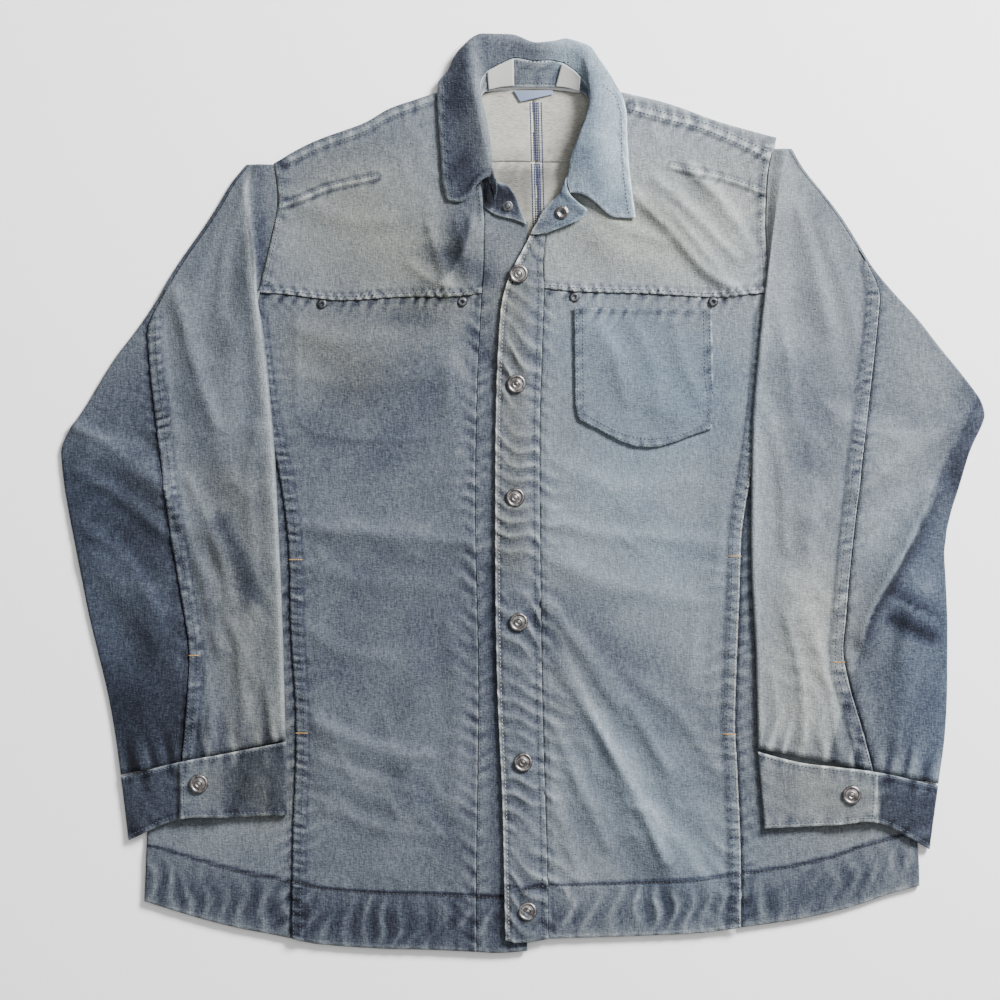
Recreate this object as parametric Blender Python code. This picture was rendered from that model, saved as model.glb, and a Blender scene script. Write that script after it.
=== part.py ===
"""A light-washed denim jacket laid flat on a table, front up, with its snaps closed.

Lengths are in millimetres and are turned to metres where a mesh is made. The origin is on the
table under the middle of the jacket, +Z is up and +Y points from the hem to the collar. Names
ending in _r are on the wearer's right side, which is at -X here, and _l on the left.
"""

import bmesh
import bpy
import numpy as np

MM = 0.001

# Cloth and layers
CLOTH = 1.2
BAND = 2.0
SEAM_GAP = 0.35
LAYER_GAP = 0.4
FRONT_LOW = 3.0
FRONT_TOP = FRONT_LOW + CLOTH
SIDE_FOLD = FRONT_TOP / 2
SLEEVE_LOW = FRONT_TOP + LAYER_GAP
SLEEVE_DEPTH = 3.6
CUFF_DEPTH = 4.8

# Snaps, studs and eyelets
CAP_RADIUS = 8.5
CAP_HEIGHT = 3.0
STUD_RADIUS = 5.0
SOCKET_RADIUS = 6.0
EYELET_RADIUS = 3.6
EYELET_HOLE = 1.5

# Steps along the long seams, the armholes and across a front, shared by the pieces that meet there
SEAM_STEPS = 22
ARMHOLE_STEPS = 5
FRONT_STEPS = 9
PLACKET_TOP_STEPS = 3

# Outlines of the cut pieces, as they lie
HEM_SIDE_R = [(-341, -368), (-304, -379), (-264, -390), (-238, -395), (-208, -401)]
HEM_FRONT_R = [(-208, -401), (-184, -406), (-129, -410), (-87, -411), (-42, -413)]
HEM_PLACKET_R = [(-42, -413), (-20, -414), (4, -412)]
HEM_PLACKET_L = [(-16, -402), (-10, -404), (6, -404), (23, -401)]
HEM_FRONT_L = [(23, -401), (60, -400), (96, -399), (159, -396), (196, -391)]
HEM_SIDE_L = [(196, -391), (246, -384), (291, -374), (323, -363), (357, -354)]
HEM_BACK_R = [(-271, -384), (-208, -397), (-129, -405), (-42, -406), (16, -398)]
HEM_BACK_L = [(16, -398), (60, -397), (159, -393), (196, -388), (246, -381), (287, -371)]
SIDE_EDGE_R = [(-341, -368), (-339, -320), (-336, -240), (-330, -132), (-325, -24), (-318, 50)]
SIDE_EDGE_L = [(357, -354), (356, -326), (350, -240), (344, -132), (338, -24), (333, 48)]
FRONT_SEAM_R = [(-208, -401), (-207, -306), (-204, -212), (-209, -122), (-211, -47), (-219, 15),
                (-233, 84), (-243, 159)]
FRONT_SEAM_L = [(196, -391), (196, -323), (193, -249), (191, -200), (195, -88), (197, -34),
                (206, 21), (215, 84), (221, 158)]
PLACKET_SEAM_R = [(-42, -413), (-42, -340), (-40, -168), (-43, -24), (-41, 102), (-37, 180)]
PLACKET_TOP_R = [(-37, 180), (-35, 210), (-35, 244)]
PLACKET_EDGE_R = [(4, -412), (3, -366), (-2, -186), (-6, -6), (-2, 174), (3, 219), (6, 238)]
PLACKET_EDGE_L = [(-16, -402), (-17, -357), (-19, -272), (-23, -186), (-25, -88), (-25, 48),
                  (-23, 120), (-20, 165), (-14, 192), (-3, 212), (4, 228), (13, 244)]
PLACKET_SEAM_L = [(23, -401), (22, -340), (18, -204), (16, -88), (15, 48), (17, 120), (19, 184)]
PLACKET_TOP_L = [(19, 184), (18, 205), (20, 228), (22, 244)]
YOKE_SEAM_R = [(-238, 180), (-218, 179), (-185, 175), (-159, 173), (-114, 176), (-60, 177),
               (-37, 180)]
YOKE_SEAM_L = [(19, 184), (50, 181), (116, 179), (172, 176), (204, 179), (221, 180)]
ARMHOLE_TOP_R = [(-238, 180), (-229, 218), (-223, 245), (-220, 267), (-224, 294)]
ARMHOLE_LOW_R = [(-318, 50), (-294, 70), (-271, 97), (-252, 133), (-243, 159)]
ARMHOLE_TOP_L = [(221, 180), (220, 208), (218, 238), (220, 288), (226, 316)]
ARMHOLE_LOW_L = [(221, 158), (231, 129), (249, 97), (276, 72), (303, 57), (333, 48)]
SHOULDER_R = [(-224, 297), (-202, 310), (-180, 320), (-144, 333), (-121, 346), (-98, 354),
              (-79, 360), (-57, 364), (-39, 364)]
SHOULDER_L = [(58, 362), (73, 364), (102, 358), (123, 353), (145, 346), (166, 338), (188, 331),
              (210, 325), (228, 320)]
NECKLINE_R = [(-35, 244), (-36, 264), (-39, 291), (-40, 318), (-41, 340), (-39, 362)]
NECKLINE_L = [(22, 244), (26, 254), (33, 268), (47, 284), (60, 300), (67, 327), (66, 343), (58, 360)]
NECK_BACK_R = [(-39, 361), (-16, 363), (8, 364)]
NECK_BACK_L = [(8, 364), (32, 363), (58, 360)]
BACK_CENTRE = [(16, -398), (15, 174), (11, 298)]
YOKE_CENTRE = [(11, 298), (8, 364)]
BACK_YOKE_SEAM_R = [(-221, 253), (-165, 277), (-93, 292), (-26, 298), (11, 298)]
BACK_YOKE_SEAM_L = [(11, 298), (47, 297), (114, 291), (177, 275), (220, 250)]
BACK_SEAM_R = [(-271, -384), (-277, -186), (-284, -6), (-288, 78)]
BACK_SEAM_L = [(287, -371), (292, -186), (299, -6), (303, 73)]
BACK_ARMHOLE_R = [(-288, 78), (-271, 102), (-250, 147), (-235, 205), (-221, 253)]
BACK_ARMHOLE_L = [(303, 73), (272, 102), (247, 147), (231, 201), (220, 250)]
BACK_ARMHOLE_LOW_R = [(-318, 50), (-304, 63), (-288, 78)]
BACK_ARMHOLE_LOW_L = [(333, 48), (318, 58), (303, 73)]

# Chest pocket, sewn on the left front
POCKET_BOTTOM = [(50, 66), (108, 41), (170, 58)]
POCKET_LEFT = [(50, 66), (47, 84), (46, 167)]
POCKET_RIGHT = [(170, 58), (171, 110), (170, 165)]
POCKET_TOP = [(46, 167), (108, 166), (170, 165)]

# Sleeves, from the shoulder down to the cuff
SLEEVE_OUT_R = [(-249, 296), (-262, 280), (-277, 255), (-295, 228), (-314, 201), (-338, 160),
                (-359, 133), (-377, 106), (-393, 79), (-411, 52), (-416, 34), (-411, -6),
                (-399, -69), (-388, -123), (-379, -158), (-370, -200), (-362, -254)]
SLEEVE_IN_R = [(-235, 296), (-243, 264), (-239, 219), (-237, 174), (-231, 129), (-227, 84),
               (-223, 39), (-220, -24), (-216, -114), (-213, -222)]
SLEEVE_SEAM_R = [(-338, 160), (-336, 111), (-327, 39), (-316, -42), (-304, -114), (-300, -146),
                 (-302, -186), (-307, -242)]
UNDERARM_R = [(-318, 50), (-315, 12), (-308, -60), (-298, -132), (-286, -240)]
SLEEVE_OUT_L = [(242, 310), (249, 297), (272, 268), (292, 241), (318, 199), (340, 174),
                (353, 160), (374, 133), (396, 106), (412, 84), (416, 72), (412, 58), (403, 39),
                (395, 12), (386, -15), (379, -56), (382, -96), (382, -177), (380, -218),
                (374, -261)]
SLEEVE_IN_L = [(233, 310), (226, 264), (220, 219), (214, 156), (209, 102), (206, 57),
               (205, -60), (209, -141), (211, -230)]
SLEEVE_SEAM_L = [(318, 202), (321, 174), (314, 102), (303, 12), (294, -69), (290, -114),
                 (288, -152), (296, -182), (305, -213), (315, -250)]
UNDERARM_L = [(333, 48), (329, 12), (323, -60), (314, -132), (302, -240)]

# Sleeve rows: how high each one starts at the inner fold and ends at the outer fold
SLEEVE_ROWS_R = [(296, 296), (278, 278), (258, 258), (236, 236), (214, 214), (192, 192),
                 (170, 170), (148, 148), (126, 126), (104, 104), (84, 84), (72, 72), (61, 61), (50, 50),
                 (38, 38), (8, 8), (-18, -18), (-46, -46), (-76, -78), (-106, -110),
                 (-136, -143), (-166, -178), (-194, -214), (-221, -253)]
SLEEVE_ROWS_L = [(310, 310), (292, 292), (270, 270), (248, 248), (224, 224), (202, 202),
                 (180, 180), (156, 156), (132, 132), (108, 108), (84, 84), (70, 70), (58, 58), (47, 47),
                 (34, 34), (6, 6), (-20, -20), (-48, -48), (-78, -80), (-108, -114),
                 (-138, -149), (-168, -186), (-200, -224), (-229, -261)]

# Cuffs: seam to the sleeve and lower edge, from the outer fold to the inner one
CUFF_TOP_R = [(-362, -255), (-312, -242), (-264, -233), (-213, -223)]
CUFF_LOW_R = [(-355, -313), (-311, -294), (-264, -292), (-212, -290)]
CUFF_VENT_R = -309
CUFF_TOP_L = [(374, -263), (316, -250), (249, -242), (211, -232)]
CUFF_LOW_L = [(366, -321), (320, -297), (280, -299), (217, -302)]
CUFF_VENT_L = 319
CUFF_OVERLAP = 28

# Blank labels on the stand, as station and share across it, and the hanging loop below them
LABEL = 1.0
LABEL_LIFT = 1.9
CARE_LABEL_R = ((12.0, 16.0), (12.2, 15.9))
CARE_LABEL_L = ((20.9, 24.6), (21.6, 24.4))
LOOP_LOW = [(-3, 352), (27, 359)]
LOOP_TOP = [(-9, 362), (27, 362.6)]

# Hardware places
SNAPS = [(-4, 197), (-6, 98), (-7, -4), (-4, -116), (0, -242), (4, -376)]
CUFF_SNAP_R = (-291, -261)
CUFF_SNAP_L = (295, -271)
STUD = (-14, 258, 7.2)
SOCKET = (35, 252, 10.9)
EYELETS = [(-181, 170), (-55, 172), (46, 176), (171, 172)]

# Folds that stand up from the front: points along each one, height and half width
RIDGES = [
    ([(-84, 183), (-62, 205), (-46, 232)], 3.2, 13),
    ([(-30, 100), (-36, 140), (-40, 168)], -1.2, 10),
    ([(-185, 205), (-140, 230), (-90, 250)], 1.6, 16),
    ([(-190, 140), (-140, 120), (-80, 128)], 1.4, 18),
    ([(-180, -215), (-150, -232), (-105, -246)], 2.4, 12),
    ([(-180, -255), (-130, -275), (-90, -285)], 1.8, 12),
    ([(-170, -35), (-100, -46), (-50, -44)], 1.4, 14),
    ([(-130, -340), (-100, -250), (-96, -160)], 1.6, 20),
    ([(122, 258), (152, 226), (185, 186)], 3.0, 12),
    ([(160, 282), (185, 240), (203, 200)], 2.2, 11),
    ([(60, 240), (90, 215), (120, 205)], 1.4, 14),
    ([(60, 150), (95, 100), (140, 70)], 1.6, 16),
    ([(34, -180), (78, -240), (105, -305), (140, -350)], 3.0, 15),
    ([(70, -170), (120, -230), (160, -290)], 2.0, 15),
    ([(30, -60), (70, -85), (120, -80)], 1.4, 16),
    ([(60, 10), (110, -10), (160, 0)], 1.2, 16),
]
SLEEVE_RIDGES = [
    ([(-250, 230), (-262, 150), (-262, 60)], 2.0, 12),
    ([(-310, 170), (-290, 90), (-262, 10)], 2.4, 14),
    ([(-390, 40), (-340, 10), (-270, -50)], 3.0, 14),
    ([(-385, -60), (-340, -110), (-290, -200)], 2.6, 13),
    ([(-250, -60), (-245, -130), (-255, -200)], 1.8, 13),
    ([(240, 250), (262, 180), (285, 100)], 2.4, 13),
    ([(230, 120), (240, 40), (250, -40)], 2.0, 13),
    ([(385, 60), (330, 20), (262, -20)], 2.4, 15),
    ([(368, 0), (338, -62), (308, -130)], 3.4, 12),
    ([(240, -90), (262, -150), (268, -215)], 2.0, 14),
    ([(360, -90), (345, -140), (330, -215)], 2.2, 13),
]

# Collar: points across it at stations round the neck, from the neck seam (first) to where the
# stand meets the fall (third), over the roll (fourth) to the outer edge (last)
COLLAR = [
    [(-29, 244, 4.9), (-27, 259, 7), (-23, 272, 10.5), (-27, 283, 13),
     (-39, 279, 12), (-53, 262, 8.5), (-69, 263, 7)],
    [(-36, 261, 4.9), (-31, 274, 9), (-27, 286, 14), (-30, 296, 17),
     (-41, 293, 14), (-57, 284, 9.3), (-74, 278, 7)],
    [(-38, 289, 4.9), (-31, 302, 9.5), (-29, 313, 14.5), (-33, 318, 19),
     (-44, 316, 15), (-60, 312, 9.5), (-76, 309, 7)],
    [(-40, 316, 4.9), (-35, 327, 10), (-33, 338, 14.5), (-38, 342, 18.5),
     (-48, 341, 15), (-63, 339, 9.5), (-77, 338, 7)],
    [(-40, 340, 4.9), (-38, 348, 10), (-38, 357, 14.5), (-43, 362, 18.5),
     (-53, 361, 15), (-66, 360, 10), (-78, 358, 7)],
    [(-38, 357, 5.4), (-38, 364, 9.5), (-39, 374, 13), (-46, 384, 16.5),
     (-58, 380, 12.5), (-68, 376, 8), (-76, 371, 5.5)],
    [(-31, 362, 5), (-33, 374, 8), (-35, 385, 10.5), (-46, 403, 13.5),
     (-57, 398, 9), (-64, 389, 5), (-58, 378, 1.5)],
    [(-21, 364, 4.2), (-22, 376, 6.5), (-23, 391, 8.5), (-34, 410, 11),
     (-40, 413, 6.5), (-38, 407, 1.4), (-35, 385, 0)],
    [(-8, 365, 3.9), (-8, 377, 5.6), (-8, 392, 7.2), (-9, 409, 9.5),
     (-9, 412.5, 5), (-9, 408, 0.6), (-9, 384, 0)],
    [(7, 365, 3.9), (8, 378, 5.6), (9, 390, 7.2), (10, 402, 9.5),
     (10, 406, 5), (10, 401, 0.6), (9, 378, 0)],
    [(23, 365, 3.9), (24, 377, 5.6), (25, 391, 7.2), (26, 403, 9.5),
     (26, 407, 5), (26, 402, 0.6), (24, 379, 0)],
    [(36, 364, 4.2), (37, 376, 6.5), (38, 390, 8.5), (40, 405, 10.5),
     (41, 409, 6), (40, 403, 1.2), (36, 381, 0)],
    [(48, 362, 5), (50, 372, 8), (51, 382, 11), (54, 398, 13.5),
     (60, 402, 9), (61, 393, 4), (53, 379, 1.2)],
    [(57, 357, 5.4), (57, 365, 9.5), (56, 374, 13.5), (59, 383, 16.5),
     (69, 387, 12.5), (75, 380, 8), (75, 371, 4.5)],
    [(63, 346, 4.9), (60, 356, 10), (58, 363, 15), (62, 367, 18.5),
     (73, 370, 14.5), (81, 367, 10), (88, 360, 6.8)],
    [(67, 331, 4.9), (63, 341, 10.5), (59, 349, 15.5), (63, 354, 19.5),
     (75, 351, 15), (85, 348, 10), (94, 343, 7)],
    [(66, 313, 4.9), (61, 325, 10.5), (56, 334, 15.5), (59, 338, 19.5),
     (72, 332, 15), (84, 326, 10), (95, 320, 7)],
    [(60, 297, 4.9), (55, 309, 10.5), (49, 318, 15.5), (52, 321, 19.5),
     (68, 311, 15), (82, 302, 10), (96, 295, 7.6)],
    [(50, 282, 4.9), (44, 290, 10.5), (42, 299, 15.5), (49, 303, 18.5),
     (64, 292, 14), (81, 284, 9.5), (98, 277, 7.6)],
    [(39, 271, 6), (36, 277, 10.4), (45, 286, 14.4), (53, 286, 15.4),
     (67, 274, 12), (82, 265, 9), (100, 260, 7.6)],
    [(27, 263, 8), (35, 268, 10.8), (49, 269, 12.4), (57, 266, 12.4),
     (68, 258, 10.5), (80, 248, 8.5), (103, 247, 7.8)],
]
STAND_END_R = [[(5, 247, 4.9), (4, 254, 5), (1, 261, 5.2)], [(-13, 246, 4.9), (-12, 260, 5), (-11, 276, 6)]]
STAND_END_L = [
    [(21, 257, 9.2), (33, 257, 10.4), (51, 260, 11.4)],
    [(15, 249, 9.8), (33, 250, 10), (58, 254, 10.4)],
    [(12, 243, 10), (28, 244, 10.2), (50, 245, 10.2)],
    [(9, 238, 10), (18, 238, 10.1), (33, 238, 10.1)],
    [(6, 232, 10), (12, 232, 10), (20, 233, 10)],
]
STAND_POINTS = 3
STAND_STEPS = 3
FALL_STEPS = 9
ROLL_CROWDING = 1.5
STAND_SEAM_GAP = 2.8
COLLAR_WALL = 1.2


def smooth_curve(points, count):
    """Points evenly spaced along a smooth curve through the given ones."""
    p = np.array(points, float)
    ends = np.vstack([2 * p[0] - p[1], p, 2 * p[-1] - p[-2]])
    t = np.linspace(0, 1, 12, endpoint=False)[:, None]
    pieces = []
    for a, b, c, d in zip(ends, ends[1:], ends[2:], ends[3:]):
        cubic = (2 * a - 5 * b + 4 * c - d) * t**2 + (3 * b - a - 3 * c + d) * t**3
        pieces.append(0.5 * (2 * b + (c - a) * t + cubic))
    dense = np.vstack(pieces + [p[-1:]])
    run = np.append(0, np.cumsum(np.linalg.norm(np.diff(dense, axis=0), axis=1)))
    where = np.linspace(0, run[-1], count)
    return np.column_stack([np.interp(where, run, dense[:, k]) for k in range(dense.shape[1])])


def joined(*stretches):
    """One line from several stretches, each given as its outline and its number of steps."""
    lines = [smooth_curve(points, steps + 1) for points, steps in stretches]
    return np.vstack([lines[0], *[line[1:] for line in lines[1:]]])


def patch(bottom, top, left, right, across, up=None):
    """A grid of flat points, rows from bottom to top, filling the space inside four outlines."""
    low = smooth_curve(bottom, across + 1)
    high = smooth_curve(top, across + 1)
    sized = [side for side in (left, right) if isinstance(side, np.ndarray)]
    rows = len(sized[0]) if sized else up + 1
    near = left if isinstance(left, np.ndarray) else smooth_curve(left, rows)
    far = right if isinstance(right, np.ndarray) else smooth_curve(right, rows)
    u = np.linspace(0, 1, across + 1)[None, :, None]
    v = np.linspace(0, 1, rows)[:, None, None]
    ruled = (1 - v) * low[None] + v * high[None] + (1 - u) * near[:, None] + u * far[:, None]
    corners = (1 - u) * (1 - v) * low[0] + u * (1 - v) * low[-1]
    corners = corners + (1 - u) * v * high[0] + u * v * high[-1]
    return ruled - corners


def trimmed(grid, amount=SEAM_GAP / 2):
    """The grid with its four borders drawn in, which leaves a gap at each seam."""
    grid = grid.copy()
    for border, inner in ((0, 1), (-1, -2)):
        step = grid[inner] - grid[border]
        grid[border] += step / np.linalg.norm(step, axis=-1, keepdims=True) * amount
    for border, inner in ((0, 1), (-1, -2)):
        step = grid[:, inner] - grid[:, border]
        grid[:, border] += step / np.linalg.norm(step, axis=-1, keepdims=True) * amount
    return grid


def ease(value):
    """0 below 0, 1 above 1 and a smooth step between."""
    t = np.clip(value, 0, 1)
    return t * t * (3 - 2 * t)


def ridge_height(x, y, ridges):
    """Height that the folds add at each point."""
    total = np.zeros(np.shape(x))
    for points, height, width in ridges:
        line = smooth_curve(points, 14)
        away = np.hypot(x[..., None] - line[:, 0], y[..., None] - line[:, 1]).min(axis=-1)
        total = total + height * np.exp(-((away / width) ** 2))
    return total


def lifted(grid, top):
    """The flat grid at the front's height, with its folds; top is the face above its underside."""
    height = FRONT_LOW + top + ridge_height(grid[..., 0], grid[..., 1], RIDGES)
    return np.dstack([grid, height])


def level(grid, height):
    return np.dstack([grid, np.full(grid.shape[:2], float(height))])


def shifted(points, dx, dy):
    return [(x + dx, y + dy) for x, y in points]


def material(name, colour, roughness, metallic=0.0):
    made = bpy.data.materials.new(name)
    made.use_nodes = True
    shader = made.node_tree.nodes["Principled BSDF"]
    shader.inputs["Base Color"].default_value = (*colour, 1.0)
    shader.inputs["Roughness"].default_value = roughness
    shader.inputs["Metallic"].default_value = metallic
    return made


def add_mesh(name, mesh, finish):
    node = bpy.data.objects.new(name, mesh)
    bpy.context.scene.collection.objects.link(node)
    mesh.materials.append(finish)
    mesh.shade_smooth()
    mesh.set_sharp_from_angle(angle=np.radians(50))
    return node


def cloth(name, grid, finish, thickness=CLOTH):
    """A cloth wall. The grid is its outer face, seen with columns going right and rows going up."""
    rows, columns = grid.shape[:2]
    sheet = bmesh.new()
    bmesh.ops.create_grid(sheet, x_segments=columns - 1, y_segments=rows - 1, size=1)
    for point in sheet.verts:
        column = round((point.co.x + 1) / 2 * (columns - 1))
        row = round((point.co.y + 1) / 2 * (rows - 1))
        point.co = grid[row, column] * MM
    mesh = bpy.data.meshes.new(name)
    sheet.to_mesh(mesh)
    sheet.free()
    node = add_mesh(name, mesh, finish)
    wall = node.modifiers.new("wall", "SOLIDIFY")
    wall.thickness = thickness * MM
    wall.offset = -1
    wall.use_even_offset = False
    wall.use_quality_normals = True
    return node


def turned(name, profile, place, finish, sides=16):
    """A round metal piece: radius and height pairs turned about an upright axis at the place."""
    shape = bmesh.new()
    points = [shape.verts.new((r * MM, 0, z * MM)) for r, z in profile]
    for a, b in zip(points, points[1:]):
        shape.edges.new((a, b))
    if profile[0][0] > 0:
        shape.edges.new((points[-1], points[0]))
    bmesh.ops.spin(
        shape, geom=shape.verts[:] + shape.edges[:], cent=(0, 0, 0), axis=(0, 0, 1),
        angle=2 * np.pi, steps=sides, use_merge=True,
    )
    bmesh.ops.remove_doubles(shape, verts=shape.verts, dist=1e-6)
    bmesh.ops.recalc_face_normals(shape, faces=shape.faces)
    mesh = bpy.data.meshes.new(name)
    shape.to_mesh(mesh)
    shape.free()
    node = add_mesh(name, mesh, finish)
    node.location = [value * MM for value in place]
    return node


def front_top(x, y, top):
    return FRONT_LOW + top + ridge_height(np.array([float(x)]), np.array([float(y)]), RIDGES)[0]


def side_panel(name, finish, side, hem, edge, armhole, seam, back_hem, back_armhole, back_seam):
    """A side panel: it runs from the front seam round the folded side edge to the back seam."""
    inset = shifted(edge, -side * SIDE_FOLD, 0)
    up = SEAM_STEPS
    hem = [*hem[1:]] if side < 0 else [*hem[:-1]]
    armhole = [*armhole[1:]] if side < 0 else [*armhole[:-1]]
    if side < 0:
        front = patch([inset[0], *hem], [inset[-1], *armhole], inset, seam, 6, up)
        front = front[:, ::-1]
    else:
        front = patch([*hem, inset[0]], [*armhole, inset[-1]], seam, inset, 6, up)
    back_low = [inset[0], *back_hem[1:]]
    back_high = [inset[-1], *back_armhole[1:]]
    back = patch(back_low, back_high, inset, back_seam, 3, up)
    fold = []
    for angle in np.radians((60, 30, 0, -30, -60)):
        column = np.empty((up + 1, 1, 3))
        column[:, 0, :2] = front[:, -1]
        column[:, 0, 0] += side * SIDE_FOLD * np.cos(angle)
        column[:, 0, 2] = SIDE_FOLD * (1 + np.sin(angle))
        fold.append(column)
    grid = np.concatenate([level(front, FRONT_TOP), *fold, level(back, 0)], axis=1)
    if side < 0:
        grid = grid[:, ::-1]
    return cloth(name, trimmed(grid), finish)


def shoulder_lip(grid, shoulder):
    """Rows that carry a front yoke round the shoulder fold, down to the table."""
    edge = smooth_curve(shoulder, grid.shape[1])
    rows = []
    for inset, height in ((0.9, 3.9), (0.2, 3.1), (0.0, 2.0), (0.0, 0.3)):
        rows.append(np.column_stack([edge[:, 0], edge[:, 1] - inset, np.full(len(edge), height)]))
    return np.concatenate([grid, np.array(rows)], axis=0)


def front_yoke(name, finish, seam, neck, armhole, shoulder, side):
    inner = shifted(shoulder, 0, -SIDE_FOLD)
    left, right = (armhole, neck) if side < 0 else (neck, armhole)
    left = [*left[:-1], inner[0]]
    right = [*right[:-1], inner[-1]]
    flat = patch(seam, inner, left, right, FRONT_STEPS, 8)
    grid = lifted(flat, CLOTH)
    settle = ease((np.linspace(0, 1, grid.shape[0]) - 0.75) / 0.25)[:, None]
    grid[..., 2] = grid[..., 2] * (1 - settle) + FRONT_TOP * settle
    return cloth(name, trimmed(shoulder_lip(grid, shoulder)), finish)


def across_at(curve, y):
    """How far across a curve lies at height y."""
    line = smooth_curve(curve, 200)
    order = np.argsort(line[:, 1])
    return float(np.interp(y, line[order, 1], line[order, 0]))


def over_body(x, y, edge, side, start=13, end=2):
    """0 on the table beside the body, from start outside its edge, and 1 from end inwards."""
    inside = (across_at(edge, y) - x) * side
    return ease((inside + start) / (start - end))


def spread(first, last, marks, count):
    """Places from first to last, evenly spaced but for the nearest ones, which are put on marks."""
    places = np.linspace(first, last, count)
    step = abs(last - first) / (count - 1)
    for mark in marks:
        near = int(np.argmin(abs(places - mark)))
        if 0 < near < count - 1 and abs(places[near] - mark) < 0.7 * step:
            places[near] = mark
    return places


def sleeve(side, finishes, outer, inner, seam, armhole, back_armhole, underarm, rows):
    """A flattened sleeve in two pieces, parted at the seam that shows and open at the armhole."""
    suffix = "r" if side < 0 else "l"
    body_edge = armhole + underarm_side(side)
    front_line = armhole + underarm[1:]
    back_line = back_armhole + underarm[1:]
    seam_start = max(y for _, y in seam)
    tops, unders = [], []
    for count, (y_in, y_out) in enumerate(rows):
        x_in = across_at(inner, y_in)
        x_out = across_at(outer, y_out)

        def height_at(x):
            return y_in + (x - x_in) / (x_out - x_in) * (y_out - y_in)

        def base(x):
            return SLEEVE_LOW * over_body(x, height_at(x), body_edge, side)

        def top_base(x):
            return SLEEVE_LOW * over_body(x, height_at(x), body_edge, side, 26, 8)

        closing = 0.75 + 0.25 * ease(count / 2)

        def top(x):
            y = height_at(x)
            boost = 2.6 * np.exp(-(((x - x_in) / 13) ** 2))
            folds = ridge_height(np.array([x]), np.array([y]), SLEEVE_RIDGES)[0]
            edge_fade = ease(abs(x - x_out) / 20)
            return top_base(x) + SLEEVE_DEPTH * closing + (boost + folds) * edge_fade * closing

        x_front = across_at(front_line, y_in) + side * 0.6
        x_back = across_at(back_line, y_in) + side * 1.6
        body_x = across_at(body_edge, y_in)
        marks = [body_x + side * step for step in (26, 17, 13, 8, 2)]
        reach_in = max(x_in * side + 3.2, x_in * side) * side
        low, high = SLEEVE_LOW, top(reach_in)
        low_high = (low + high) / 2
        radius = (high - low) / 2
        under_ridge = ease(((x_front - x_in) * side + 4) / 14)
        ridge = []
        steps = 8
        for k in range(steps):
            share = k / (steps - 1)
            slope_x = x_front + (reach_in - x_front) * share
            slope_z = low + (high - low) * ease(share)
            if share <= 0.4:
                turn_x = x_front + (reach_in - x_front) * share / 0.43
                turn_z = low
            else:
                angle = np.pi * ((share - 0.43) / 0.57 - 0.5)
                turn_x = reach_in - side * min(radius, 3.2) * np.cos(angle)
                turn_z = low_high + radius * np.sin(angle)
            x = slope_x + (turn_x - slope_x) * under_ridge
            z = slope_z + (turn_z - slope_z) * under_ridge
            ridge.append((x, height_at(x), z))
        fold_x = x_out - side * 1.9
        x_seam = fold_x
        if y_out < seam_start:
            x_seam = across_at(seam, height_at(across_at(seam, y_out)))
        if (fold_x - x_seam) * side < 1.5:
            x_seam = fold_x - side * 1.5
        inner_face = [(x, height_at(x), top(x)) for x in spread(reach_in, x_seam, marks, 7)[1:]]
        tops.append(ridge + inner_face)
        outer_face = [(x, height_at(x), top(x)) for x in spread(x_seam, fold_x, marks, 5)]
        high, low = top(fold_x), base(fold_x)
        turn = []
        for angle in np.radians((45, 0, -45)):
            x = fold_x + side * 1.9 * np.cos(angle)
            turn.append((x, y_out, (high + low) / 2 + (high - low) / 2 * np.sin(angle)))
        lift = ease((70 - y_in) / 16)
        climb = body_x + side * np.array([12.5, 9.0, 5.5, 2.0])
        limits = sorted((fold_x, x_back))
        under_x = [fold_x, *np.clip(climb, *limits), x_back]
        even = np.linspace(fold_x, x_back, 6)
        under_x = np.array(under_x) * 0.9 * lift + even * (1 - 0.9 * lift)
        under_face = [(x, height_at(x), base(x) * lift) for x in under_x]
        unders.append(outer_face + turn + under_face)
    for name, columns in (("sleeve_top_", tops), ("sleeve_under_", unders)):
        grid = np.array(columns)[::-1]
        if side < 0:
            grid = grid[:, ::-1]
        cloth(name + suffix, trimmed(grid, SEAM_GAP), finishes[name])


def underarm_side(side):
    return SIDE_EDGE_R[::-1][1:] if side < 0 else SIDE_EDGE_L[::-1][1:]


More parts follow.
